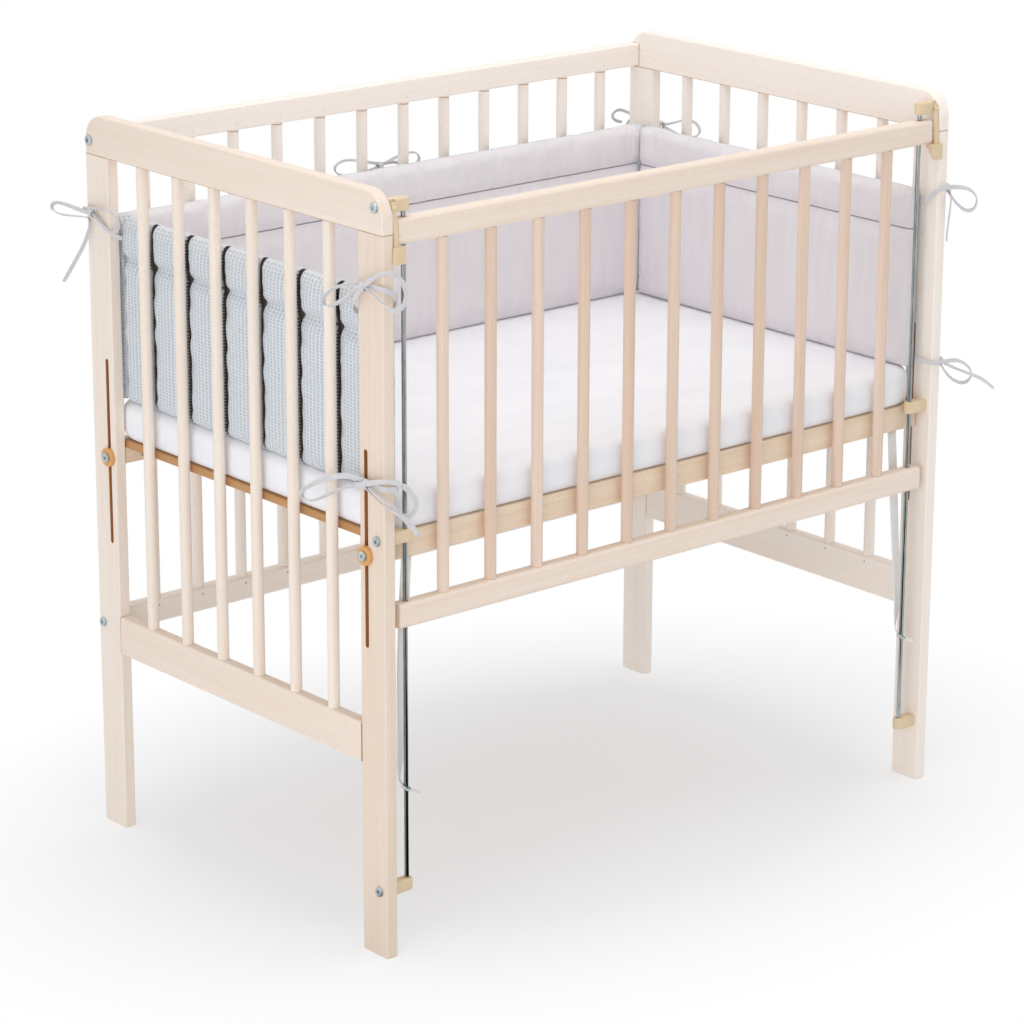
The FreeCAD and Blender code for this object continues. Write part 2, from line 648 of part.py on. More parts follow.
# ---------------------------------------------------------------- mattress and fitted sheet
def pad_block(grow):
    """Rounded block of the dressed mattress, smaller by grow on every side."""
    block = box(MATTRESS_X + grow, LENGTH - MATTRESS_X - grow, MATTRESS_FRONT_Y + grow, MATTRESS_BACK_Y - grow,
                BASE_TOP + SEAT + grow, MATTRESS_TOP - grow)
    block = block.makeFillet(2 * MATTRESS_R, edges_along(block, "z"))
    top = [e for e in block.Edges if abs(e.BoundBox.ZMin - (MATTRESS_TOP - grow)) < 0.01]
    low = [e for e in block.Edges if abs(e.BoundBox.ZMax - (BASE_TOP + SEAT + grow)) < 0.01]
    block = block.makeFillet(MATTRESS_R, top)
    low = [e for e in block.Edges if abs(e.BoundBox.ZMax - (BASE_TOP + SEAT + grow)) < 0.01]
    return block.makeFillet(MATTRESS_R / 2, low)


def mattress():
    return pad_block(SHEET_T + FIT)


def fitted_sheet():
    """Skin over the mattress that turns in under it."""
    tuck = SHEET_TUCK
    opening = box(MATTRESS_X + tuck, LENGTH - MATTRESS_X - tuck, MATTRESS_FRONT_Y + tuck, MATTRESS_BACK_Y - tuck,
                  BASE_TOP - 1, BASE_TOP + MATTRESS_T / 2)
    return pad_block(0).cut(pad_block(SHEET_T)).cut(opening)


# ---------------------------------------------------------------- padded liner
def liner_section(place, outer_u, inner_u, z0, height):
    """Closed wire of the liner's cross-section; place(u, w) gives the point in space."""
    side = 1 if inner_u > outer_u else -1
    seam = z0 + height - LINER_ROLL_H
    top = z0 + height
    out = outer_u + side * LINER_CROWN
    inn = inner_u - side * LINER_CROWN
    pinch_out = outer_u + side * LINER_GROOVE
    pinch_in = inner_u - side * LINER_GROOVE
    mid = (outer_u + inner_u) / 2
    foot_mid = (z0 + seam) / 2
    roll_mid = (seam + top) / 2
    shoulder = top - LINER_ROLL_H / 4
    edges = [
        Part.LineSegment(place(out, z0), place(inn, z0)).toShape(),
        Part.Arc(place(inn, z0), place(inner_u, foot_mid), place(pinch_in, seam)).toShape(),
        Part.Arc(place(pinch_in, seam), place(inner_u, roll_mid), place(inn, shoulder)).toShape(),
        Part.Arc(place(inn, shoulder), place(mid, top), place(out, shoulder)).toShape(),
        Part.Arc(place(out, shoulder), place(outer_u, roll_mid), place(pinch_out, seam)).toShape(),
        Part.Arc(place(pinch_out, seam), place(outer_u, foot_mid), place(out, z0)).toShape(),
    ]
    return Part.Wire(edges)


def liner_puff(place, along_mid, width, outer_u, side):
    """Swell of the pad between two spindles: a loft through shallow bows, full in the middle."""
    seam = LINER_TOP - LINER_ROLL_H
    levels = [(LINER_Z + 2, 0.25), (LINER_Z + 40, 1.0), (seam - 40, 1.0), (seam - 4, 0.3)]
    root = outer_u + side * (LINER_CROWN + LINER_GROOVE)
    wires = []
    for w, share in levels:
        low = place(along_mid - width / 2, root, w)
        high = place(along_mid + width / 2, root, w)
        low_edge = place(along_mid - width / 2, outer_u + side * LINER_CROWN, w)
        high_edge = place(along_mid + width / 2, outer_u + side * LINER_CROWN, w)
        crest = place(along_mid, outer_u - side * LINER_PUFF * share, w)
        wires.append(Part.Wire([Part.LineSegment(low, high).toShape(), Part.LineSegment(high, high_edge).toShape(),
                                Part.Arc(high_edge, crest, low_edge).toShape(),
                                Part.LineSegment(low_edge, low).toShape()]))
    return Part.makeLoft(wires, True, True)


def gaps_between(centres, first, last):
    """Middle and width of each free gap between spindles and the two end stops."""
    stops = [first] + centres + [last]
    gaps = []
    for i in range(len(stops) - 1):
        low = stops[i] + (SPINDLE_D / 2 if i > 0 else 0) + LINER_PUFF_SIDE
        high = stops[i + 1] - (SPINDLE_D / 2 if i < len(stops) - 2 else 0) - LINER_PUFF_SIDE
        gaps.append(((low + high) / 2, high - low))
    return gaps


def left_liner():
    inner = LINER_X + LINER_T
    y1 = LINER_BACK_Y - LINER_T - SOFT_GAP
    wire = liner_section(lambda u, w: V(u, LINER_FRONT_Y, w), LINER_X, inner, LINER_Z, LINER_H)
    pad = Part.Face(wire).extrude(V(0, y1 - LINER_FRONT_Y, 0))
    for middle, width in gaps_between(END_YS, POST_W, DEPTH - POST_W):
        pad = pad.fuse(liner_puff(lambda a, u, w: V(u, a, w), middle, width, LINER_X, 1))
    return pad


def rear_liner():
    inner = LINER_BACK_Y - LINER_T
    wire = liner_section(lambda u, w: V(LINER_X, u, w), LINER_BACK_Y, inner, LINER_Z, LINER_H)
    pad = Part.Face(wire).extrude(V(LENGTH - 2 * LINER_X, 0, 0))
    for middle, width in gaps_between(REAR_XS, LINER_X, LENGTH - LINER_X):
        pad = pad.fuse(liner_puff(lambda a, u, w: V(a, u, w), middle, width, LINER_BACK_Y, -1))
    return pad


# ---------------------------------------------------------------- ties and straps
# Routes of the tapes, chosen by hand: each runs from the liner round its post or spindle into the bow.
TIES = {
    "tie_front_left_top": [
        [(24, 23.9, 812), (23, 10, 820), (21, -5, 832), (7, -6, 843), (-6, -5, 851), (-8, 12, 855), (-8, 30, 857),
         (-12, 50, 856), (-18, 73, 846), (-20, 91, 830), (-16, 88, 815), (-11, 66, 825), (-8, 45, 840),
         (-9, 30, 847)],
        [(17.7, 56, 812), (6, 56, 815), (-7, 50, 826), (-13, 36, 842), (-14, 20, 857), (-15, 4, 868),
         (-12, -10, 877), (0, -17, 878), (15, -17, 867), (24, -16, 850), (20, -16, 835), (6, -16, 829),
         (-5, -14, 836), (-12, -5, 845), (-14, 8, 850)],
    ],
    "tie_front_left_low": [
        [(24, 24.7, 604), (23, 9, 605), (21, -5, 607), (6, -6, 609), (-6, -5, 611), (-8, 12, 613), (-8, 31, 616),
         (-12, 54, 617), (-16, 84, 609), (-18, 114, 594), (-18, 138, 580), (-14, 146, 566), (-11, 130, 560),
         (-10, 104, 573), (-8, 74, 589), (-8, 48, 602), (-9, 26, 606), (-12, 6, 600), (-8, -16, 591),
         (8, -24, 580), (24, -23, 564), (36, -21, 549)],
        [(19.6, 53, 602), (6, 54, 604), (-7, 49, 606), (-13, 36, 609), (-14, 20, 614), (-15, 4, 620),
         (-9, -12, 624), (5, -17, 621), (21, -17, 611), (34, -16, 597), (38, -15, 583), (29, -14, 573),
         (15, -13, 576), (4, -13, 588), (-6, -12, 598), (-14, 0, 604)],
    ],
    "tie_rear_left": [
        [(24, 591.8, 812), (24, 604, 817), (20, 616, 827), (6, 618, 838), (-6, 612, 845), (-8, 597, 848),
         (-10, 580, 851), (-13, 560, 855), (-13, 540, 855), (-10, 526, 847), (-9, 527, 833), (-9, 541, 825),
         (-9, 557, 830), (-10, 573, 838)],
        [(17.7, 554, 812), (7, 554, 815), (-2.9, 562, 824), (-2.9, 578, 832), (-4.5, 596, 836), (-9, 612, 838),
         (-18, 629, 845), (-27, 644, 850), (-31, 648, 839), (-25, 637, 831), (-16, 618, 829), (-10, 602, 825),
         (-10, 593, 812), (-15, 601, 793), (-20, 616, 770), (-25, 631, 748)],
    ],
    "tie_rear_middle": [
        [(503, 591.8, 810), (501, 603, 813), (506, 613, 820), (519, 615, 825), (536, 615, 826), (551, 617, 825),
         (562, 620, 831), (557, 621, 841), (542, 620, 843), (527, 619, 841)],
        [(530, 592.2, 810), (532, 604, 815), (527, 613, 829), (511, 615, 835), (492, 615, 836), (470, 618, 839),
         (447, 621, 845), (428, 622, 847), (412, 621, 841), (414, 620, 830), (432, 619, 825), (452, 618, 825),
         (474, 618, 827)],
    ],
    "tie_rear_right": [
        [(936, 591.8, 812), (936, 604, 817), (940, 616, 827), (954, 618, 837), (966, 612, 841), (968.5, 597, 841),
         (969, 579, 841), (970, 561, 843), (973, 540, 847), (974, 518, 849), (973, 499, 846), (970, 488, 837),
         (969, 495, 828), (968.5, 511, 826), (968.5, 530, 827), (969, 548, 831)],
        [(942.3, 554, 812), (953, 554, 815), (962.9, 562, 821), (962.9, 578, 826), (965, 596, 829),
         (970, 611, 831), (968, 624, 837), (954, 629, 846), (938, 629, 851), (925, 628, 845), (930, 627, 835),
         (944, 627, 832)],
    ],
    "tie_front_right_top": [
        [(936, 23.9, 812), (937, 10, 822), (938, -6, 836), (948, -10, 844), (961, -10, 843), (977, -11, 840),
         (993, -12, 835), (1006, -13, 823), (1004, -13, 809), (990, -12, 805), (974, -11, 813), (960, -10, 826)],
        [(942.5, 58, 812), (953, 58, 817), (963, 54, 832), (968, 39, 845), (969, 19, 843), (968, 5, 832),
         (970, 2, 815), (971, 6, 795), (970, 9, 778), (971, 10, 764)],
    ],
    "tie_front_right_low": [
        [(936, 24.7, 604), (937, 9, 604), (939, -6, 604), (950, -10, 606), (964, -11, 606), (980, -12, 602),
         (996, -13, 594), (1008, -14, 582), (1005, -14, 570), (991, -13, 567), (975, -12, 573), (961, -11, 584)],
        [(940.4, 53, 602), (953, 54, 603), (966, 49, 604), (970, 34, 604), (970, 18, 601), (975, 4, 594),
         (985, -9, 587), (996, -21, 582), (1004, -33, 577), (1009, -44, 571), (1011, -52, 565)],
    ],
}


def cord_path(points):
    """Straight runs joined by the largest tangent arcs; returns the wire and its radii."""
    runs = [(points[i + 1] - points[i]) for i in range(len(points) - 1)]
    edges = []
    radii = []
    at = points[0]
    for i in range(1, len(points) - 1):
        before = runs[i - 1]
        after = runs[i]
        turn = before.getAngle(after)
        shorter = min(before.Length, after.Length)
        reach = 0.45 * shorter
        radii.append(reach / math.tan(turn / 2))
        into = points[i] - before * (reach / before.Length)
        out = points[i] + after * (reach / after.Length)
        centre_line = (into + out) * 0.5 - points[i]
        half_chord = (out - into).Length / 2
        bow = radii[-1] - math.sqrt(max(radii[-1] ** 2 - half_chord ** 2, 0.0))
        crest = points[i] + centre_line * ((centre_line.Length - bow) / centre_line.Length)
        edges.append(Part.LineSegment(at, into).toShape())
        edges.append(Part.Arc(into, crest, out).toShape())
        at = out
    edges.append(Part.LineSegment(at, points[-1]).toShape())
    return Part.Wire(edges), radii


def cord_tube(name, route, diameter):
    points = [V(*p) for p in route]
    path, radii = cord_path(points)
    section = Part.Wire([Part.Circle(points[0], points[1] - points[0], diameter / 2).toShape()])
    tube = path.makePipeShell([section], True, False)
    ideal = math.pi * diameter ** 2 / 4 * path.Length
    print("%s: length %.1f, least radius %.1f, volume ratio %.4f"
          % (name, path.Length, min(radii), tube.Volume / ideal))
    return tube


# Stations of a hanging strap between its eyelet and its top: share of the way across, of the way back and of the
# way up, and the twist of its width in degrees.
STRAP_STATIONS = [(1.0, 1.0, 1.0, 0), (0.62, 0.92, 0.74, 0), (0.26, 0.74, 0.446, 4), (0.04, 0.47, 0.184, 12),
                  (-0.17, 0.42, 0.109, 20), (-0.31, 0.37, 0.054, 38)]
EYELET_TWIST = 52.0         # the eyelet's stretch faces the side
EYELET_TILT = 35.0          # and falls away past the rod


def band_section(centre, twist, travel):
    """Rectangle across the strap: its width lies level and its thickness square to the travel."""
    width = V(math.cos(math.radians(twist)), math.sin(math.radians(twist)), 0) * (STRAP_W / 2)
    thick = width.cross(travel).normalize() * (STRAP_T / 2)
    corners = [centre + width + thick, centre - width + thick, centre - width - thick, centre + width - thick]
    return Part.makePolygon(corners + [corners[0]])


def eyelet_frame(rod_x):
    """Centre of the eyelet on the rod and the strap's travel there."""
    twist = math.radians(EYELET_TWIST)
    tilt = math.radians(EYELET_TILT)
    level = V(math.sin(twist), -math.cos(twist), 0)
    return V(rod_x, GUIDE_Y, EYELET_Z), level, level * math.cos(tilt) - UP * math.sin(tilt)


def strap(rod_x, top_x):
    """Webbing that hangs from the base's front rail to an eyelet on the guide rod, with a short free end."""
    eye, level, travel = eyelet_frame(rod_x)
    way_back = BASE_FRONT_Y + RAIL_T / 2 - STRAP_FORWARD - GUIDE_Y
    way_up = BASE_Z - SEAT - EYELET_Z
    stations = []
    for across, back, up, twist in STRAP_STATIONS:
        way_across = top_x - rod_x if across > 0 else STRAP_LEFT_IN - ROD_X
        place = V(rod_x + across * way_across, GUIDE_Y + back * way_back, EYELET_Z + up * way_up)
        stations.append((place, twist))
    flat_end = eye + travel * EYELET_REACH
    tab_end = flat_end + level * TAB_L - UP * STRAP_T
    stations += [(eye - travel * EYELET_REACH, EYELET_TWIST), (flat_end, EYELET_TWIST), (tab_end, EYELET_TWIST)]
    wires = []
    for i, (centre, twist) in enumerate(stations):
        before = stations[max(i - 1, 0)][0]
        after = stations[min(i + 1, len(stations) - 1)][0]
        wires.append(band_section(centre, twist, after - before))
    band = Part.makeLoft(wires, True, True)
    normal = level.cross(travel).cross(travel)
    hole = rod(EYELET_NECK_R + FIT, eye - normal * STRAP_W / 2, normal, STRAP_W)
    return band.cut(hole)


def strap_eyelet(rod_x):
    """Metal eyelet: a neck through the webbing with a flange on each face, free on the rod."""
    eye, level, travel = eyelet_frame(rod_x)
    normal = level.cross(travel).cross(travel)
    half = STRAP_T / 2 + FIT + EYELET_FLANGE_T
    spool = rod(EYELET_R, eye - normal * half, normal, 2 * half)
    groove = rod(EYELET_R + 1, eye - normal * (STRAP_T / 2 + FIT), normal, STRAP_T + 2 * FIT)
    neck = rod(EYELET_NECK_R, eye - normal * half, normal, 2 * half)
    bore = rod(EYELET_BORE_R, eye - normal * 2 * half, normal, 4 * half)
    return spool.cut(groove).fuse(neck).cut(bore).removeSplitter()


# ---------------------------------------------------------------- nodes
def export_both_ends(name, shapes):
    if not isinstance(shapes, list):
        shapes = [shapes]
    export("left_" + name, shapes)
    export("right_" + name, [mirrored(shape) for shape in shapes])


export_both_ends("front_post", left_post(True))
export_both_ends("rear_post", left_post(False))
export_both_ends("top_rail", left_top_rail())
export_both_ends("low_rail", left_low_rail())
export_both_ends("spindles", left_spindles())
export_both_ends("brads", left_brads())
export_both_ends("dowels", left_dowels())
for place, shape in left_brackets().items():
    export_both_ends(place + "_bracket", shape)
export_both_ends("guide_rod", guide_rod())
export_both_ends("latch", latch())
export_both_ends("latch_pin", latch_pin())
export_both_ends("liner", left_liner())
export("bracket_bolts", bracket_bolts())

export("rear_top_rail", rear_rail(REAR_TOP_Z))
export("rear_low_rail", rear_rail(REAR_LOW_Z))
export("rear_spindles", rear_spindles())
export("rear_brads", rear_brads())
export("rear_bolts", rear_bolts())
export("rear_barrel_nuts", rear_nuts())
export("rear_liner", rear_liner())

export("drop_top_rail", drop_rail(DROP_TOP_Z))
export("drop_low_rail", drop_rail(DROP_LOW_Z))
export("drop_spindles", drop_spindles())
export("drop_brads", drop_brads())

export("base_front_rail", base_rail(True))
export("base_rear_rail", base_rail(False))
export("base_slats", base_slats())
export("base_screws", [slat_screw(x, y) for x, y in slat_screw_places()])
export("base_bolts", base_bolts())
export("base_washers", base_washers())
export("base_barrel_nuts", base_nuts())
export("mattress", mattress())
export("fitted_sheet", fitted_sheet())
export("left_strap", [strap(ROD_X, STRAP_LEFT_IN), strap_eyelet(ROD_X)])
export("right_strap", [strap(LENGTH - ROD_X, LENGTH - STRAP_RIGHT_IN), strap_eyelet(LENGTH - ROD_X)])

for tie, routes in TIES.items():
    export(tie, [cord_tube(tie, route, TIE_D) for route in routes])
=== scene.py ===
"""Looks of a bedside sleeper crib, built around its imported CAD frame.

Every length in the classes is in millimetres from the crib's left outer face, front post face and floor, where
nothing else is said, and place() turns it into metres in the row frame. Shapes are surfaces on a grid of two
parameters, worked out with numpy. Wood, moulded and metal parts keep their CAD meshes and get materials here; the
cloth parts are new pieces.
"""

import logging
import math
from dataclasses import dataclass
from enum import Enum
from typing import Callable, Sequence

import bmesh
import bpy
import numpy as np
from mathutils import Matrix, Vector


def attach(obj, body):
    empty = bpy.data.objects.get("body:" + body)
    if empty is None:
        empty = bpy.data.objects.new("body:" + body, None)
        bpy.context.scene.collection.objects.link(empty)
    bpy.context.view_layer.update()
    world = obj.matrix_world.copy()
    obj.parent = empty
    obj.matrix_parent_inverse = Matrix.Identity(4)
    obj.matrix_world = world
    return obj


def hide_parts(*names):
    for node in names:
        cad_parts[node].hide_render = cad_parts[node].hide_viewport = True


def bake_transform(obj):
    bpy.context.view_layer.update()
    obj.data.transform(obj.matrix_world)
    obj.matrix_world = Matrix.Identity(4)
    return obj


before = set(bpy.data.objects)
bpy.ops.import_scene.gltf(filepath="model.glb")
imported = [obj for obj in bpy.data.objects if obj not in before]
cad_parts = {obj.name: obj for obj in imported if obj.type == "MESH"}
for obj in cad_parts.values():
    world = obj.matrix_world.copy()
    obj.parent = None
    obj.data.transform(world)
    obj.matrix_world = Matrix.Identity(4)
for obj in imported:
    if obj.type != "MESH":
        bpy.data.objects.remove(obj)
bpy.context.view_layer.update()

LOG = logging.getLogger("crib")

IMAGE_SIDE = 1024          # pixels of the photograph and of the render
ORIGIN_X = 480.0           # row frame's origin, in the crib's millimetres
ORIGIN_Y = 302.75
END_SPINDLES = np.linspace(113.0, 497.0, 6)       # axes of the ends' spindles along y
REAR_SPINDLES = np.linspace(83.5, 876.5, 12)      # axes of the rear spindles along x
LINER_Z = (592.3, 839.3)   # the liner's lower and upper edge
SEAM_Z = 784.3             # the line sewn under its roll
FILL_FRAMES = 20           # frames that a pad takes to fill
FEW = 1e-9                 # keeps a division from its zero

Point = tuple[float, float, float]
Span = tuple[float, float] | None
Box = tuple[Span, Span, Span]


class Axis(Enum):
    """Direction in which a board's fibres run."""

    X = 0
    Y = 1
    Z = 2


class Side(Enum):
    """Side of the crib on which a liner panel or a strap is."""

    LEFT = "left"
    REAR = "rear"
    RIGHT = "right"


# ---------------------------------------------------------------- small helpers
def place(points: np.ndarray) -> np.ndarray:
    """Turns crib millimetres into metres in the row frame.

    Args:
        points: array whose last axis is x, y, z in millimetres.

    Returns:
        The same points in metres, moved to the row frame's origin.
    """
    return (np.asarray(points, float) - (ORIGIN_X, ORIGIN_Y, 0.0)) / 1000.0


def unit(vectors: np.ndarray) -> np.ndarray:
    """Gives each vector along the last axis a length of one."""
    return vectors / np.maximum(np.linalg.norm(vectors, axis=-1, keepdims=True), FEW)


def linear(code: str) -> tuple[float, float, float, float]:
    """Turns an sRGB hex code into linear red, green, blue and alpha."""
    parts = [int(code[i:i + 2], 16) / 255 for i in (1, 3, 5)]
    return tuple(p / 12.92 if p <= 0.04045 else ((p + 0.055) / 1.055) ** 2.4 for p in parts) + (1.0,)


def smooth(x: np.ndarray) -> np.ndarray:
    """Rises from 0 to 1 with level ends: three x squared less two x cubed."""
    x = np.clip(x, 0, 1)
    return x * x * (3 - 2 * x)


def arch(distance: np.ndarray, reach: float) -> np.ndarray:
    """Quarter circle: 0 at distance 0, upright there, and 1 from reach onwards."""
    x = 1 - np.clip(distance / reach, 0, 1)
    return np.sqrt(np.maximum(1 - x * x, 0))


def piece_from(name: str, points: np.ndarray, faces: Sequence,
               uv: np.ndarray | None = None) -> bpy.types.Object:
    """Makes a smooth-shaded object at the origin from points in metres.

    Args:
        name: the piece's name.
        points: one row of x, y, z for each vertex.
        faces: vertex numbers of each face.
        uv: optional texture coordinates, one row for each vertex.

    Returns:
        The new object, linked to the scene.
    """
    mesh = bpy.data.meshes.new(name)
    mesh.from_pydata(np.asarray(points, float).tolist(), [], [list(map(int, f)) for f in faces])
    if uv is not None:
        corners = np.empty(len(mesh.loops), dtype=np.int32)
        mesh.loops.foreach_get("vertex_index", corners)
        layer = mesh.uv_layers.new(name="UVMap")
        layer.data.foreach_set("uv", np.asarray(uv, np.float32)[corners].ravel())
    mesh.polygons.foreach_set("use_smooth", [True] * len(mesh.polygons))
    mesh.update()
    made = bpy.data.objects.new(name, mesh)
    bpy.context.scene.collection.objects.link(made)
    return made


def grid_faces(rows: int, columns: int, wrap: bool = False, start: int = 0,
               flip: bool = False) -> np.ndarray:
    """Quads of a grid stored row by row.

    Args:
        rows: vertices along the first parameter.
        columns: vertices along the second parameter.
        wrap: whether the last column joins the first.
        start: number of the grid's first vertex.
        flip: whether the faces turn round.

    Returns:
        Array of four vertex numbers for each face.
    """
    i, j = np.meshgrid(np.arange(rows - 1), np.arange(columns if wrap else columns - 1), indexing="ij")
    right = (j + 1) % columns
    corners = [i * columns + j, (i + 1) * columns + j, (i + 1) * columns + right, i * columns + right]
    quads = np.stack(corners, -1).reshape(-1, 4) + start
    return quads[:, ::-1] if flip else quads


def weld(piece: bpy.types.Object, within: float = 1e-6) -> None:
    """Merges vertices that lie on each other, and turns all faces outwards.

    Args:
        piece: the piece, whose mesh changes.
        within: distance in metres up to which vertices are merged.
    """
    shell = bmesh.new()
    shell.from_mesh(piece.data)
    bmesh.ops.remove_doubles(shell, verts=shell.verts, dist=within)
    bmesh.ops.recalc_face_normals(shell, faces=shell.faces)
    shell.to_mesh(piece.data)
    shell.free()


def settle(piece: bpy.types.Object) -> None:
    """Makes a piece's live modifiers part of its mesh.

    Args:
        piece: the piece, which gets a new mesh.
    """
    bpy.context.view_layer.update()
    graph = bpy.context.evaluated_depsgraph_get()
    done = bpy.data.meshes.new_from_object(piece.evaluated_get(graph))
    piece.modifiers.clear()
    piece.data = done


def subdivide(piece: bpy.types.Object, levels: int = 1) -> None:
    """Adds a subdivision surface and makes it part of the mesh.

    Args:
        piece: the piece, which gets a new mesh.
        levels: how often each face is split in four.
    """
    added = piece.modifiers.new("Subdivision", "SUBSURF")
    added.levels = levels
    added.render_levels = levels
    settle(piece)


def coordinates(mesh: bpy.types.Mesh) -> np.ndarray:
    """Reads a mesh's vertices.

    Args:
        mesh: the mesh.

    Returns:
        Rows of x, y, z in metres.
    """
    flat = np.empty(len(mesh.vertices) * 3)
    mesh.vertices.foreach_get("co", flat)
    return flat.reshape(-1, 3)


# ---------------------------------------------------------------- materials
Socket = bpy.types.NodeSocket
Tree = bpy.types.NodeTree
Inputs = dict[str | int, object]


def add(tree: Tree, kind: str, inputs: Inputs | None = None, **settings: object) -> bpy.types.Node:
    """Adds one node.

    Args:
        tree: the material's node tree.
        kind: the node's type name, without the ShaderNode that it begins with.
        inputs: for each input, by name or number, an output to link, a hex code or a plain value.
        **settings: values of the node's own attributes.

    Returns:
        The new node.
    """
    node = tree.nodes.new("ShaderNode" + kind)
    for key, value in settings.items():
        setattr(node, key, value)
    for key, value in (inputs or {}).items():
        if isinstance(value, Socket):
            tree.links.new(value, node.inputs[key])
        else:
            node.inputs[key].default_value = linear(value) if isinstance(value, str) else value
    return node


def space(tree: Tree, periods: Sequence[float], cloth: bool = False) -> Socket:
    """Coordinates in units of a real size for each axis.

    Args:
        tree: the material's node tree.
        periods: the sizes in millimetres.
        cloth: whether they follow the piece's UV map, which is in metres of cloth.

    Returns:
        The coordinates' socket.
    """
    source = add(tree, "UVMap", uv_map="UVMap") if cloth else add(tree, "TexCoord")
    scale = [1000.0 / p for p in periods] + [1.0] * (3 - len(periods))
    mapping = add(tree, "Mapping", {"Vector": source.outputs[0 if cloth else "Object"], "Scale": scale})
    return mapping.outputs[0]


def clouds(tree: Tree, periods: Sequence[float], detail: float = 2.0, roughness: float = 0.5,
           twist: float = 0.0, cloth: bool = False) -> Socket:
    """Noise whose cells have a real size along each axis.

    Args:
        tree: the material's node tree.
        periods: sizes of a cell in millimetres.
        detail: number of finer octaves.
        roughness: strength of the finer octaves.
        twist: how far the noise bends itself.
        cloth: whether it follows the piece's UV map.

    Returns:
        The noise's socket, from 0 to 1.
    """
    made = add(tree, "TexNoise", {"Vector": space(tree, periods, cloth), "Scale": 1.0, "Detail": detail,
                                  "Roughness": roughness, "Distortion": twist})
    return made.outputs[0]


def tinted(tree: Tree, colour: str | Socket, value: Socket, low: float, high: float, code: str,
           most: float = 1.0) -> Socket:
    """Turns a colour towards another one where a value is high.

    Args:
        tree: the material's node tree.
        colour: hex code or socket of the first colour.
        value: the value that decides.
        low: value up to which the first colour stays.
        high: value from which the second colour has its full share.
        code: hex code of the second colour.
        most: that full share.

    Returns:
        The new colour's socket.
    """
    share = add(tree, "MapRange", {0: value, 1: low, 2: high, 3: 0.0, 4: most})
    return add(tree, "Mix", {0: share.outputs[0], 6: colour, 7: code}, data_type="RGBA").outputs[2]


def relief(tree: Tree, *layers: tuple[Socket, float, float]) -> Socket:
    """Normal of heights that lie on each other.

    Args:
        tree: the material's node tree.
        *layers: for each one a height from 0 to 1, its full height in millimetres and its strength.

    Returns:
        The normal's socket.
    """
    under: Inputs = {}
    for height, depth_mm, strength in layers:
        made = add(tree, "Bump", {"Height": height, "Distance": depth_mm / 1000.0, "Strength": strength,
                                  **under})
        under = {"Normal": made.outputs[0]}
    return under["Normal"]


def inside(tree: Tree, box: Box) -> Socket:
    """Share that is 1 inside a box and 0 outside it.

    Args:
        tree: the material's node tree.
        box: spans of x, y and z in crib millimetres, or None where an axis is free.

    Returns:
        The share's socket.
    """
    split = add(tree, "SeparateXYZ", {0: add(tree, "TexCoord").outputs["Object"]})
    share: float | Socket = 1.0
    for where, span, origin in zip(split.outputs, box, (ORIGIN_X, ORIGIN_Y, 0.0)):
        if span is not None:
            near = add(tree, "Math", {0: where, 1: (sum(span) / 2 - origin) / 1000,
                                      2: (span[1] - span[0]) / 2000}, operation="COMPARE")
            share = add(tree, "Math", {0: near.outputs[0], 1: share}, operation="MULTIPLY").outputs[0]
    return share


@dataclass(frozen=True)
class Finish:
    """A finish that becomes one material.

    Attributes:
        name: the material's name.
    """

    name: str

    def material(self) -> bpy.types.Material:
        """Makes the material.

        Returns:
            The material, which has one surface shader.
        """
        material = bpy.data.materials.new(self.name)
        material.use_nodes = True
        tree = material.node_tree
        tree.nodes.clear()
        add(tree, "OutputMaterial", {"Surface": self.surface(tree)})
        return material

    def surface(self, tree: Tree) -> Socket:
        """Makes the shader: a Principled one, where a finish has no other.

        Args:
            tree: the material's node tree.

        Returns:
            The shader's socket.
        """
        return add(tree, "BsdfPrincipled", self.inputs(tree)).outputs[0]

    def inputs(self, tree: Tree) -> Inputs:
        """Gives the Principled shader's inputs: links for what varies, numbers for what doesn't.

        Args:
            tree: the material's node tree.

        Returns:
            Inputs of the Principled shader, by name.
        """
        raise NotImplementedError


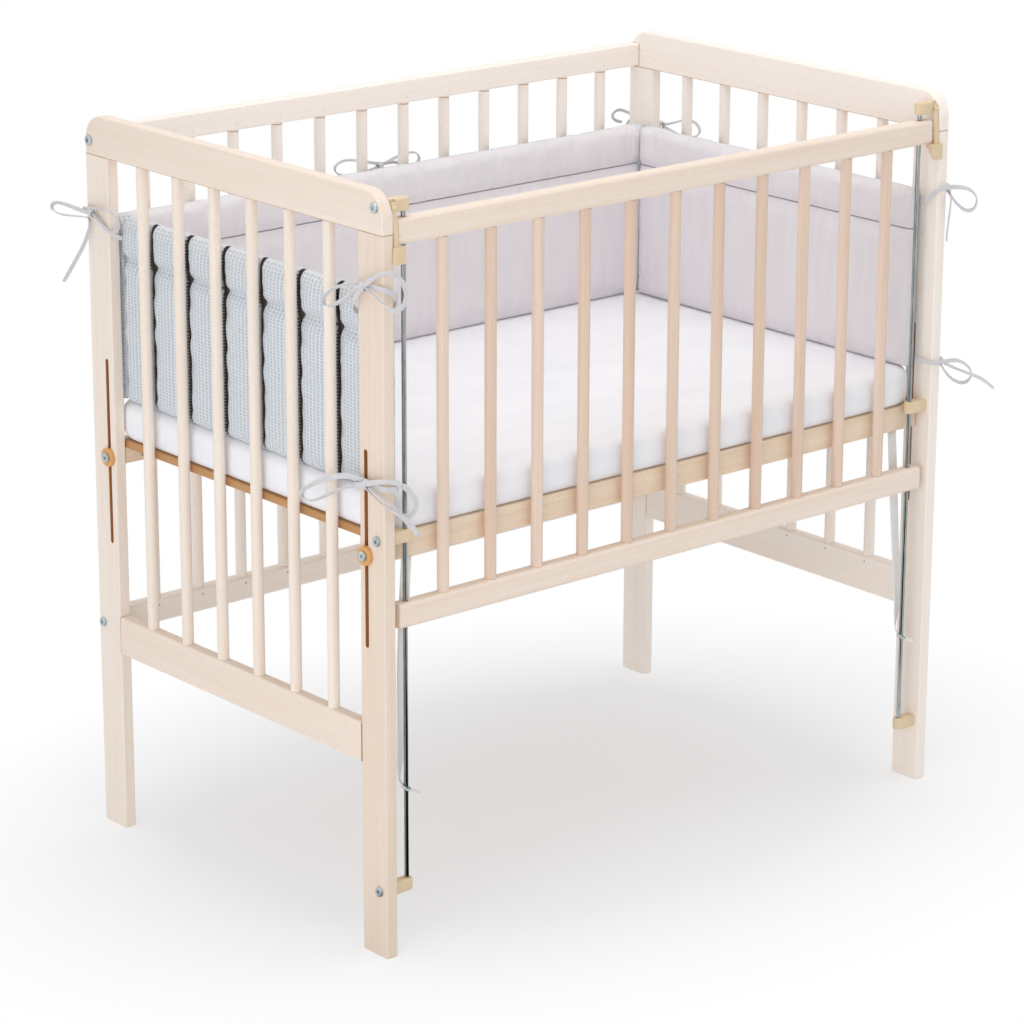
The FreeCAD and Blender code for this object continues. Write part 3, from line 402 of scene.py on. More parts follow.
@dataclass(frozen=True)
class Beech(Finish):
    """Planed beech under a thin matt water lacquer: pale pinkish cream with short brown ray flecks.

    Attributes:
        grain: direction of the fibres.
        tone: colour of the plain wood.
        streak: colour of the darker rings.
        fleck: colour of the ray flecks.
        ring_mm: distance between rings.
        pore_mm: distance between the fine lines, and width of a ray fleck.
        board_mm: size across the fibres over which the tone drifts.
        drift: how far it drifts towards the streaks' colour.
        contrast: how strong the rings are.
        roughness: of the lacquer.
        marks: boxes in another colour, such as a joint line, or a slot's walls with painted shade.
    """

    grain: Axis
    tone: str = "#f3e5d8"
    streak: str = "#e6cfbb"
    fleck: str = "#cba888"
    ring_mm: float = 9.0
    pore_mm: float = 1.7
    board_mm: float = 70.0
    drift: float = 0.35
    contrast: float = 0.55
    roughness: float = 0.5
    marks: tuple[tuple[Box, str], ...] = ()

    def periods(self, across: float, along: float) -> list[float]:
        """Sizes for the three axes, with the long one along the fibres."""
        return [along if axis is self.grain else across for axis in Axis]

    def inputs(self, tree: Tree) -> Inputs:
        """Streaks, lines and flecks run with the fibres, over a slow change of tone from board to board.

        Args:
            tree: the material's node tree.

        Returns:
            Inputs of the Principled shader, by name.
        """
        board = clouds(tree, self.periods(self.board_mm, 1500.0), 1.0)
        rings = clouds(tree, self.periods(self.ring_mm, 330.0), 3.0, 0.55, 0.6)
        lines = clouds(tree, self.periods(self.pore_mm, 120.0), 2.0, 0.6)
        rays = add(tree, "TexVoronoi", {"Vector": space(tree, self.periods(self.pore_mm, 11.0)), "Scale": 1.0,
                                        "Randomness": 1.0}, feature="F1")
        wide = add(tree, "MapRange", {0: rings, 1: 0.36, 2: 0.68})
        fine = add(tree, "MapRange", {0: lines, 1: 0.35, 2: 0.7})
        shade = add(tree, "Math", {0: wide.outputs[0], 1: 0.55}, operation="MULTIPLY")
        both = add(tree, "Math", {0: fine.outputs[0], 1: 0.35, 2: shade.outputs[0]}, operation="MULTIPLY_ADD")
        share = add(tree, "Math", {0: both.outputs[0], 1: self.contrast}, operation="MULTIPLY").outputs[0]
        colour = add(tree, "Mix", {0: share, 6: self.tone, 7: self.streak}, data_type="RGBA").outputs[2]
        colour = tinted(tree, colour, board, 0.3, 0.7, self.streak, self.drift)
        colour = tinted(tree, colour, rays.outputs["Distance"], 0.26, 0.10, self.fleck, 0.30)
        for box, code in self.marks:
            colour = add(tree, "Mix", {0: inside(tree, box), 6: colour, 7: code}, data_type="RGBA").outputs[2]
        return {"Base Color": colour, "Normal": relief(tree, (lines, 0.12, 0.5)), "Roughness": self.roughness,
                "IOR": 1.5, "Subsurface Weight": 0.05, "Subsurface Radius": (0.004, 0.002, 0.001)}


@dataclass(frozen=True)
class MouldedNylon(Finish):
    """Injection-moulded nylon in a wood tone: even colour, fine spark-eroded grain, a soft sheen."""

    tone: str = "#e3cdab"
    shade: str = "#ccb088"
    grit_mm: float = 0.9      # drawn coarser than the real 0.1 mm so that it shows
    cloud_mm: float = 14.0

    def inputs(self, tree: Tree) -> Inputs:
        """Slow clouds of tone and gloss, with the mould's grain over them.

        Args:
            tree: the material's node tree.

        Returns:
            Inputs of the Principled shader, by name.
        """
        grit = clouds(tree, [self.grit_mm] * 3, 3.0)
        cloud = clouds(tree, [self.cloud_mm] * 3)
        gloss = add(tree, "MapRange", {0: cloud, 1: 0.2, 2: 0.8, 3: 0.40, 4: 0.52})
        return {"Base Color": tinted(tree, self.tone, cloud, 0.3, 0.7, self.shade, 0.22),
                "Normal": relief(tree, (grit, 0.08, 0.6)), "Roughness": gloss.outputs[0],
                "IOR": 1.53, "Subsurface Weight": 0.12, "Subsurface Radius": (0.003, 0.0018, 0.001)}


@dataclass(frozen=True)
class ZincPlate(Finish):
    """Bright zinc plating on drawn steel: cool grey metal with a faint blue cast and fine drawing lines."""

    tone: str = "#ccd5da"
    dull: str = "#a5b2bb"
    roughness: float = 0.24
    line_mm: tuple[float, float, float] = (0.8, 0.8, 40.0)
    cloud_mm: tuple[float, float, float] = (9.0, 9.0, 30.0)

    def inputs(self, tree: Tree) -> Inputs:
        """Dull clouds over the plating, and drawing lines in its gloss and its surface.

        Args:
            tree: the material's node tree.

        Returns:
            Inputs of the Principled shader, by name.
        """
        lines = clouds(tree, self.line_mm)
        cloud = clouds(tree, self.cloud_mm, 3.0)
        gloss = add(tree, "MapRange", {0: lines, 1: 0.3, 2: 0.7, 3: self.roughness - 0.05,
                                       4: self.roughness + 0.09})
        return {"Base Color": tinted(tree, self.tone, cloud, 0.35, 0.7, self.dull),
                "Normal": relief(tree, (lines, 0.02, 0.4)), "Roughness": gloss.outputs[0], "Metallic": 1.0}


@dataclass(frozen=True)
class BradHead(Finish):
    """Sunk brad: a dull grey-brown head, and above a given height one filled over in the wood's own tone."""

    tone: str = "#a08b78"
    worn: str = "#85715f"
    filled: str = "#ecdccd"
    filled_above: float = 0.8
    grit_mm: float = 0.7

    def inputs(self, tree: Tree) -> Inputs:
        """Gritty metal below the given height in metres, and filler above it.

        Args:
            tree: the material's node tree.

        Returns:
            Inputs of the Principled shader, by name.
        """
        height = add(tree, "SeparateXYZ", {0: add(tree, "TexCoord").outputs["Object"]}).outputs[2]
        grit = clouds(tree, [self.grit_mm] * 3)
        metal = tinted(tree, self.tone, grit, 0.3, 0.7, self.worn, 0.5)
        colour = tinted(tree, metal, height, self.filled_above - 0.01, self.filled_above + 0.01, self.filled)
        return {"Base Color": colour, "Normal": relief(tree, (grit, 0.05, 0.5)), "Roughness": 0.5}


@dataclass(frozen=True)
class SheetCotton(Finish):
    """Plain-woven cotton, bleached: matt white with a thread weave and a faint fuzz."""

    tone: str = "#f7f7fa"
    shade: str = "#efeff4"
    gap: str = "#e2e3ea"
    thread_mm: float = 1.1    # drawn coarser than the real 0.35 mm so that it shows
    slack_mm: tuple[float, float, float] = (90.0, 60.0, 40.0)

    def inputs(self, tree: Tree) -> Inputs:
        """Threads over the slow waves of a stretched sheet.

        Args:
            tree: the material's node tree.

        Returns:
            Inputs of the Principled shader, by name.
        """
        weave = add(tree, "TexVoronoi", {"Vector": space(tree, [self.thread_mm] * 3), "Scale": 1.0,
                                         "Randomness": 0.15}, distance="CHEBYCHEV").outputs["Distance"]
        slack = clouds(tree, self.slack_mm, 3.0, 0.5, 0.4)
        colour = tinted(tree, self.tone, slack, 0.3, 0.75, self.shade, 0.7)
        colour = tinted(tree, colour, weave, 0.25, 0.5, self.gap, 0.2)
        return {"Base Color": colour, "Normal": relief(tree, (slack, 0.7, 0.35), (weave, 0.12, 0.35)),
                "Roughness": 0.9, "Sheen Weight": 0.15}


@dataclass(frozen=True)
class FoamCover(Finish):
    """Knitted cover over polyurethane foam: off-white, matt, with small knitted cells."""

    tone: str = "#ededea"
    shade: str = "#d8d8d3"
    cell_mm: float = 3.0

    def inputs(self, tree: Tree) -> Inputs:
        """Round cells, darker between them.

        Args:
            tree: the material's node tree.

        Returns:
            Inputs of the Principled shader, by name.
        """
        cells = add(tree, "TexVoronoi", {"Vector": space(tree, [self.cell_mm] * 3), "Scale": 1.0,
                                         "Randomness": 0.35}).outputs["Distance"]
        return {"Base Color": tinted(tree, self.tone, cells, 0.1, 0.7, self.shade),
                "Normal": relief(tree, (cells, 0.5, 0.7)), "Roughness": 0.95}


@dataclass(frozen=True)
class Waffle(Finish):
    """Waffle-weave cotton: raised ridges round square pits, pale blue-grey, the pits darkened with painted shade.

    Attributes:
        ridge: colour of the ridges.
        pit: colour of the pits, darker than the ridges with painted shade.
        pale: two colours that the threads and the wear lean towards.
        fold: painted shade deep in a crease, where the point attribute fold is 1.
        pitch_mm: size of a cell along the panel and up it.
        depth_mm: depth of a pit.
    """

    ridge: str = "#e6eaee"
    # painted shade in the pits
    pit: str = "#b6bfc8"
    pale: tuple[str, str] = ("#ced5dc", "#d5dbe1")
    # painted shade in the creases
    fold: str = "#453d38"
    pitch_mm: tuple[float, float] = (7.2, 4.2)
    depth_mm: float = 1.2

    def inputs(self, tree: Tree) -> Inputs:
        """Cells of cloth with painted shade that darkens them into each crease, the ridges last.

        Args:
            tree: the material's node tree.

        Returns:
            Inputs of the Principled shader, by name.
        """
        cells = add(tree, "TexVoronoi", {"Vector": space(tree, self.pitch_mm, True), "Scale": 1.0,
                                         "Randomness": 0.06}, voronoi_dimensions="2D", distance="CHEBYCHEV")
        threads = clouds(tree, (1.2, 0.9), cloth=True)
        wear = clouds(tree, (30.0, 30.0), cloth=True)
        height = add(tree, "MapRange", {0: cells.outputs["Distance"], 1: 0.12, 2: 0.44}).outputs[0]
        # painted shade: the pits take a darker colour than the ridges
        colour = add(tree, "Mix", {0: height, 6: self.pit, 7: self.ridge}, data_type="RGBA").outputs[2]
        colour = tinted(tree, colour, threads, 0.35, 0.75, self.pale[0], 0.35)
        colour = tinted(tree, colour, wear, 0.35, 0.7, self.pale[1], 0.3)
        # painted shade: darkens the cloth deep in each crease, the pits first and the ridges last
        deep = add(tree, "Attribute", attribute_name="fold").outputs["Fac"]
        crease_shade = add(tree, "Math", {0: height, 1: -0.4, 2: deep}, operation="MULTIPLY_ADD").outputs[0]
        return {"Base Color": tinted(tree, colour, crease_shade, 0.15, 0.5, self.fold),
                "Normal": relief(tree, (height, self.depth_mm, 0.9), (threads, 0.15, 0.6)),
                "Roughness": 0.92, "Sheen Weight": 0.2}


@dataclass(frozen=True)
class Muslin(Finish):
    """Double-gauze cotton: mauve-grey, crinkled in soft upright creases with painted shade in them, with a sewn
    line along its seam.

    Attributes:
        tone: colour of the cloth.
        shade: painted shade in its creases.
        pale: colour of its lighter clouds.
        gap: colour between the threads.
        thread: colour of the sewn line.
        crease_mm: size of a crease along the panel and up it.
        seam_m: height of the sewn line, in metres.
        seam_half_mm: half of the line's width.
    """

    tone: str = "#e9e4e7"
    # painted shade in the creases
    shade: str = "#ddd7db"
    pale: str = "#ebe8ea"
    gap: str = "#cbc5c9"
    thread: str = "#8f888c"
    crease_mm: tuple[float, float] = (16.0, 110.0)
    seam_m: float = SEAM_Z / 1000
    seam_half_mm: float = 0.9

    def inputs(self, tree: Tree) -> Inputs:
        """Creases with painted shade, clouds and weave of the cloth, and the seam's line.

        Args:
            tree: the material's node tree.

        Returns:
            Inputs of the Principled shader, by name.
        """
        creases = clouds(tree, self.crease_mm, 2.0, 0.5, 0.5, True)
        weave = clouds(tree, (0.9, 0.9), 1.0, cloth=True)
        cloud = clouds(tree, (60.0, 90.0), cloth=True)
        # painted shade: the colour darkens where the crease noise is high
        colour = tinted(tree, self.tone, creases, 0.35, 0.7, self.shade, 0.45)
        colour = tinted(tree, colour, cloud, 0.3, 0.7, self.pale, 0.4)
        colour = tinted(tree, colour, weave, 0.4, 0.7, self.gap, 0.22)
        height = add(tree, "SeparateXYZ", {0: add(tree, "UVMap", uv_map="UVMap").outputs[0]}).outputs[1]
        near = add(tree, "Math", {0: height, 1: self.seam_m, 2: self.seam_half_mm / 1000},
                   operation="COMPARE").outputs[0]
        colour = add(tree, "Mix", {0: near, 6: colour, 7: self.thread}, data_type="RGBA").outputs[2]
        return {"Base Color": colour, "Normal": relief(tree, (creases, 0.8, 0.3), (weave, 0.12, 0.5)),
                "Roughness": 0.93, "Sheen Weight": 0.2}


@dataclass(frozen=True)
class WovenBand(Finish):
    """Woven cotton tape or polyester webbing: fine ribs across it, and faint lines along it.

    Attributes:
        tone: colour of the ribs.
        shade: colour between them.
        rib_mm: distance between ribs.
        line_mm: distance between lines.
    """

    tone: str
    shade: str
    rib_mm: float
    line_mm: float

    def inputs(self, tree: Tree) -> Inputs:
        """Ribs as a wave along the band, lines as drawn-out noise.

        Args:
            tree: the material's node tree.

        Returns:
            Inputs of the Principled shader, by name.
        """
        ribs = add(tree, "TexWave", {"Vector": space(tree, (self.rib_mm, self.line_mm), True), "Scale": 0.5,
                                     "Distortion": 0.6, "Detail": 1.0},
                   wave_type="BANDS", bands_direction="X").outputs["Fac"]
        lines = clouds(tree, (18.0, self.line_mm), cloth=True)
        colour = tinted(tree, self.tone, ribs, 0.2, 0.8, self.shade, 0.6)
        colour = tinted(tree, colour, lines, 0.35, 0.7, self.shade, 0.5)
        return {"Base Color": colour, "Normal": relief(tree, (ribs, 0.25, 0.6), (lines, 0.2, 0.5)),
                "Roughness": 0.85, "Sheen Weight": 0.2}


@dataclass(frozen=True)
class StudioFloor(Finish):
    """Matt pale studio floor, which fades into the white backdrop away from the crib.

    Attributes:
        tone: colour of the floor.
        fade: distances in metres where the fade begins and ends.
        haze: share of white at the crib.
        ahead: level direction in which the crib's front left corner looks.
        across: level direction to the right of it.
        strip: middle of the dark strip that metal reflects, and half of its width, in metres.
    """

    tone: str = "#eff1f4"
    fade: tuple[float, float] = (0.50, 0.95)
    haze: float = 0.42
    ahead: tuple[float, float, float] = (-0.65, -0.76, 0.0)
    across: tuple[float, float, float] = (0.76, -0.65, 0.0)
    strip: tuple[float, float] = (0.19, 0.52)

    def inputs(self, tree: Tree) -> Inputs:
        """An even matt paint.

        Args:
            tree: the material's node tree.

        Returns:
            Inputs of the Principled shader, by name.
        """
        return {"Base Color": self.tone, "Roughness": 0.95, "Specular IOR Level": 0.1}

    def surface(self, tree: Tree) -> Socket:
        """Paint, with white over it for the camera and a dark strip on it for what metal reflects.

        Args:
            tree: the material's node tree.

        Returns:
            The shader's socket.
        """
        place_on = add(tree, "TexCoord").outputs["Object"]
        squeezed = add(tree, "Mapping", {"Vector": place_on, "Scale": (1.0, 1.35, 1.0)})
        far = add(tree, "VectorMath", {0: squeezed.outputs[0]}, operation="LENGTH").outputs["Value"]
        away = add(tree, "MapRange", {0: far, 1: self.fade[0], 2: self.fade[1], 3: self.haze, 4: 1.0})
        rays = add(tree, "LightPath").outputs
        seen = add(tree, "Math", {0: away.outputs[0], 1: rays["Is Camera Ray"]}, operation="MULTIPLY")
        white = add(tree, "Emission", {"Color": "#ffffff", "Strength": 1.0})
        out, side = (add(tree, "VectorMath", {0: place_on, 1: way}, operation="DOT_PRODUCT").outputs["Value"]
                     for way in (self.ahead, self.across))
        strip = add(tree, "Math", {0: side, 1: self.strip[0], 2: self.strip[1]}, operation="COMPARE")
        begun = add(tree, "MapRange", {0: out, 1: 0.30, 2: 0.45})
        dark = add(tree, "Math", {0: begun.outputs[0], 1: strip.outputs[0]}, operation="MULTIPLY")
        colour = add(tree, "Mix", {0: dark.outputs[0], 6: "#ffffff", 7: "#101615"}, data_type="RGBA")
        mirrored = add(tree, "Emission", {"Color": colour.outputs[2], "Strength": 0.95})
        paint = super().surface(tree)
        plain = add(tree, "MixShader", {0: rays["Is Glossy Ray"], 1: paint, 2: mirrored.outputs[0]})
        whole = add(tree, "MixShader", {0: seen.outputs[0], 1: plain.outputs[0], 2: white.outputs[0]})
        return whole.outputs[0]


# ---------------------------------------------------------------- shapes on a grid
@dataclass(frozen=True)
class RimGrid:
    """Square grid whose border strip turns over a rim with rounded corners.

    Attributes:
        half: half of the plan's two sizes.
        rim: width of the border strip in plan, which is also the reach of its corners.
        squareness: power of the superellipse that rounds the corners; 2 is a circle and more is squarer.
        inner: cells across the flat middle, in each direction.
        rings: cells across the border strip.
        stations: places of the first axis's lines in the flat middle, where they aren't even.
    """

    half: tuple[float, float]
    rim: float
    squareness: float
    inner: tuple[int, int]
    rings: int
    stations: np.ndarray | None = None

    def line(self, axis: int) -> tuple[np.ndarray, np.ndarray, np.ndarray]:
        """Works out the grid lines of one axis.

        Args:
            axis: 0 or 1.

        Returns:
            Each line's core coordinate, its sign in the border and its share of the border strip.
        """
        core = self.half[axis] - self.rim
        middle = np.linspace(-core, core, self.inner[axis] + 1)
        if axis == 0 and self.stations is not None:
            middle = np.clip(self.stations, -core, core)
        border = np.arange(self.rings, 0, -1) / self.rings
        places = np.concatenate([np.full(self.rings, -core), middle, np.full(self.rings, core)])
        signs = np.concatenate([np.full(self.rings, -1.0), np.zeros(len(middle)), np.full(self.rings, 1.0)])
        shares = np.concatenate([border, np.zeros(len(middle)), border[::-1]])
        return places, signs, shares

    def spread(self, reach: Callable[[np.ndarray], np.ndarray]) -> tuple[np.ndarray, np.ndarray, np.ndarray]:
        """Plan of the grid.

        In a corner the larger of the two shares is the ring's number, and their ratio gives the angle, so
        every ring runs round the corner on one superellipse.

        Args:
            reach: how far out of the border's root a ring lies, as a share of the rim's width.

        Returns:
            Two arrays of plan coordinates and one of the ring's share, from 0 at the border's root to 1.
        """
        u, su, cu = self.line(0)
        v, sv, cv = self.line(1)
        cu, cv = np.meshgrid(cu, cv, indexing="ij")
        ring = np.maximum(cu, cv)
        ratio = np.minimum(cu, cv) / np.maximum(ring, FEW) * (math.pi / 4)
        angle = np.where(cu >= cv, ratio, math.pi / 2 - ratio)
        cos, sin = np.cos(angle), np.sin(angle)
        size = (np.abs(cos) ** self.squareness + np.abs(sin) ** self.squareness) ** (-1 / self.squareness)
        out = self.rim * reach(ring) * size
        return u[:, None] + su[:, None] * cos * out, v[None, :] + sv[None, :] * sin * out, ring

    def shape(self) -> tuple[int, int]:
        """Vertices in each direction."""
        return len(self.line(0)[0]), len(self.line(1)[0])


def route_line(name: str, route: Sequence[Point]) -> np.ndarray:
    """Points of a route's own NURBS spline.

    Args:
        name: name of the cord.
        route: control points in metres.

    Returns:
        The spline's points in order, in metres.
    """
    data = bpy.data.curves.new(name + "_route", "CURVE")
    data.dimensions = "3D"
    data.resolution_u = 10
    spline = data.splines.new("NURBS")
    spline.points.add(len(route) - 1)
    for point, where in zip(spline.points, route):
        point.co = (*where, 1.0)
    spline.order_u = 3
    spline.use_endpoint_u = True
    carrier = bpy.data.objects.new(name + "_route", data)
    mesh = bpy.data.meshes.new_from_object(carrier)
    points = coordinates(mesh)
    bpy.data.objects.remove(carrier)
    bpy.data.curves.remove(data)
    bpy.data.meshes.remove(mesh)
    return points


def band_along(name: str, line: np.ndarray, hints: Sequence[tuple[float, Point]], width: float, thick: float,
               cup: float, ends: float = 1.0, fold: float = 0.0) -> bpy.types.Object:
    """Flat band carried along a line.

    The section is a flattened superellipse. Its width lies along a hint direction made square to the line, and
    the section bows by cup, most at its middle. A lengthwise fold thins its middle by a bell curve.

    Args:
        name: the piece's name.
        line: points along the band's middle, in metres.
        hints: share of the length and the direction of the width there.
        width: the band's width, in metres.
        thick: its thickness, in metres.
        cup: how far its middle stands out of its edges, in metres.
        ends: share of the width that is left at the two ends.
        fold: share of the thickness that the fold takes.

    Returns:
        The closed band, with a UV map in metres of tape.
    """
    steps = np.linalg.norm(np.diff(line, axis=0), axis=1)
    travel = np.concatenate([[0.0], np.cumsum(steps)])
    share = travel / travel[-1]
    ahead = unit(np.gradient(line, travel, axis=0))
    stops = np.array([h[0] for h in hints])
    ways = unit(np.array([h[1] for h in hints], float))
    hint = np.stack([np.interp(share, stops, ways[:, k]) for k in range(3)], -1)
    side = unit(hint - (hint * ahead).sum(-1, keepdims=True) * ahead)
    normal = np.cross(ahead, side)
    angle = np.linspace(0, 2 * math.pi, 20, endpoint=False)
    across = np.sign(np.cos(angle)) * np.abs(np.cos(angle)) ** 0.75
    through = np.sign(np.sin(angle)) * np.abs(np.sin(angle)) ** 0.75
    taper = ends + (1 - ends) * smooth(np.minimum(travel, travel[-1] - travel) / (1.2 * width))
    half = (width / 2) * taper
    through = through * (1 - fold * np.exp(-(across / 0.3) ** 2))
    points = (line[:, None, :] + side[:, None, :] * (half[:, None] * across)[..., None]
              + normal[:, None, :] * (through * thick / 2 + cup * (1 - across ** 2))[None, :, None])
    rows, columns = points.shape[:2]
    faces = grid_faces(rows, columns, wrap=True).tolist()
    faces += [list(range(columns)), list(range((rows - 1) * columns, rows * columns))[::-1]]
    uv = np.stack([np.repeat(travel, columns), np.tile((across + 1) * width / 2, rows)], -1)
    made = piece_from(name, points.reshape(-1, 3), faces, uv)
    weld(made)
    return made


def wrap_ring(name: str, centre: np.ndarray, along: np.ndarray, up: np.ndarray, radii: tuple[float, float],
              width: float, thick: float) -> bpy.types.Object:
    """Band wrapped once and a half round the crossing of a bow: a flattened tube on an oval helix.

    Args:
        name: the piece's name.
        centre: middle of the knot, in metres.
        along: direction in which the bow's loops leave the knot.
        up: direction square to it, in the bow's plane.
        radii: half of the oval's sizes, across the bow and out of its plane.
        width: the tape's width.
        thick: the tape's thickness.

    Returns:
        The closed knot.
    """
    along = unit(np.asarray(along, float))
    up = unit(np.asarray(up, float) - np.dot(up, along) * along)
    out = np.cross(along, up)
    turn = np.linspace(-0.25, 1.35, 56) * 2 * math.pi
    grow = 1 + 0.10 * turn / turn[-1]
    lift = (turn / turn[-1] - 0.5) * width * 0.55
    line = (centre + up * (np.cos(turn) * radii[0] * grow)[:, None]
            + out * (np.sin(turn) * radii[1] * grow)[:, None] + along * lift[:, None])
    hints = [(0.0, along + 0.2 * up), (0.5, along - 0.15 * up), (1.0, along + 0.25 * up)]
    return band_along(name, line, hints, width, thick, cup=thick * 0.25, ends=0.55)


# ---------------------------------------------------------------- wood, fittings and metal from the CAD
@dataclass
class Joinery:
    """Posts, rails, spindles, fittings and metal parts, which keep their CAD meshes.

    Attributes:
        woods: for each lot of boards its name, the direction of its fibres, its tone, the tone of its streaks
            and its node names. The rear and right boards' lighter tones are painted light, the left front post's
            darker tone painted shade.
        drop_spindles: nodes of the drop side's spindles, and so on for the other groups of nodes.
        joint: colour of a joint line.
        routed_wood_and_shade: colour of a slot's walls: the cut wood's darker tone and painted shade inside the
            slot.
        post_top: heights of the line between a post and its top rail.
        post_faces: places along x of the lines between a long rail and the posts.
        low_rail_ends: places along y of the lines between an end's low rail and its posts.
        low_rail_z: heights of that rail.
        slots_x: width of the slots' walls in the left and right posts.
        slots_y: places of the slots along y.
        slots_z: heights of the slots.
    """

    # painted light and shade: rear and right boards get lighter tones, the left front post a darker one
    woods: tuple[tuple[str, Axis, str, str, tuple[str, ...]], ...] = (
        ("beech_drop_rail", Axis.X, "#f3e5d8", "#e6cfbb", ("drop_top_rail", "drop_low_rail")),
        ("beech_rear_rail_lit", Axis.X, "#fdf5ee", "#f5e6d8", ("rear_top_rail", "rear_low_rail")),
        ("beech_left_rail", Axis.Y, "#f3e6da", "#e6d0bd", ("left_top_rail", "left_low_rail")),
        ("beech_right_rail_lit", Axis.Y, "#fdf5ee", "#f5e6d8", ("right_top_rail", "right_low_rail")),
        ("beech_front_post_shaded", Axis.Z, "#ecdccc", "#dfc7b1", ("left_front_post",)),
        ("beech_left_upright", Axis.Z, "#f5eadf", "#e9d6c5",
         ("left_rear_post", "left_spindles", "left_dowels")),
        ("beech_far_upright_lit", Axis.Z, "#fcf4ec", "#f2e2d4",
         ("right_front_post", "right_rear_post", "right_spindles", "rear_spindles", "right_dowels")),
    )
    drop_spindles: tuple[str, ...] = ("drop_spindles",)
    base_rails: tuple[str, ...] = ("base_front_rail", "base_rear_rail")
    slats: tuple[str, ...] = ("base_slats",)
    washers: tuple[str, ...] = ("base_washers",)
    moulded: tuple[str, ...] = tuple(f"{side}_{what}" for what in ("top_bracket", "mid_bracket",
                                                                   "bottom_bracket", "latch")
                                     for side in ("left", "right"))
    rods: tuple[str, ...] = ("left_guide_rod", "right_guide_rod")
    plated: tuple[str, ...] = ("bracket_bolts", "rear_bolts", "rear_barrel_nuts", "base_bolts", "base_screws",
                               "base_barrel_nuts", "left_latch_pin", "right_latch_pin")
    brads: tuple[str, ...] = ("left_brads", "right_brads", "rear_brads", "drop_brads")
    joint: str = "#c4a283"
    # a slot's walls: the cut wood's darker tone and painted shade inside the slot
    routed_wood_and_shade: str = "#b47a48"
    post_top: Span = (917.3, 918.7)
    post_faces: tuple[Span, Span] = ((15.6, 18.2), (941.8, 944.4))
    low_rail_ends: tuple[Span, Span] = ((46.8, 49.2), (560.8, 563.2))
    low_rail_z: Span = (240.0, 305.0)
    slots_x: tuple[Span, Span] = ((0.5, 16.5), (943.5, 959.5))
    slots_y: tuple[Span, Span] = ((31.2, 38.8), (571.2, 578.8))
    slots_z: Span = (396.0, 656.0)

    def marks(self, axis: Axis) -> tuple[tuple[Box, str], ...]:
        """Joint lines of the rails and posts, and the walls of the posts' slots, darker cut wood with painted
        shade.

        Args:
            axis: direction of the boards.

        Returns:
            Boxes in crib millimetres, each with its colour.
        """
        cap = ((None, None, self.post_top), self.joint)
        if axis is Axis.X:
            return tuple(((span, None, None), self.joint) for span in self.post_faces)
        if axis is Axis.Y:
            return (cap,) + tuple(((None, span, self.low_rail_z), self.joint) for span in self.low_rail_ends)
        # the slots' walls get their darker tone and painted shade here
        return (cap,) + tuple(((across, back, self.slots_z), self.routed_wood_and_shade)
                              for across in self.slots_x for back in self.slots_y)

    def dress(self) -> None:
        """Gives every rigid CAD node its material."""
        sets = [(names, Beech(name, axis, tone=tone, streak=streak, marks=self.marks(axis)))
                for name, axis, tone, streak, names in self.woods]
        sets += [
            (self.drop_spindles, Beech("beech_drop_spindle", Axis.Z, tone="#eedccd", streak="#d3b298",
                                       board_mm=55.0, drift=0.75)),
            (self.base_rails, Beech("beech_base_rail", Axis.X, tone="#f2dfc9", streak="#e3c5a4",
                                    fleck="#bd9068", contrast=0.8)),
            # darker slats: partly the wood's own darker tone, partly painted shade under the mattress
            (self.slats, Beech("beech_slat_dark_and_shaded", Axis.Y, tone="#cfa06c", streak="#ac7a45", fleck="#8d5c30")),
            (self.washers, Beech("beech_washer", Axis.Z, tone="#e3ab6c", streak="#cc8d4c", fleck="#a86d36",
                                 ring_mm=5.0, contrast=0.8, roughness=0.42)),
            (self.moulded, MouldedNylon("moulded_nylon")),
            (self.brads, BradHead("brad_head")),
            (self.rods, ZincPlate("drawn_rod_zinc", tone="#a9afb1", dull="#8c9597", roughness=0.10)),
            (self.plated, ZincPlate("bright_zinc", roughness=0.28)),
        ]
        for names, finish in sets:
            material = finish.material()
            for name in names:
                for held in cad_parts[name].material_slots:
                    held.material = material
            LOG.info("%s on %d nodes", finish.name, len(names))


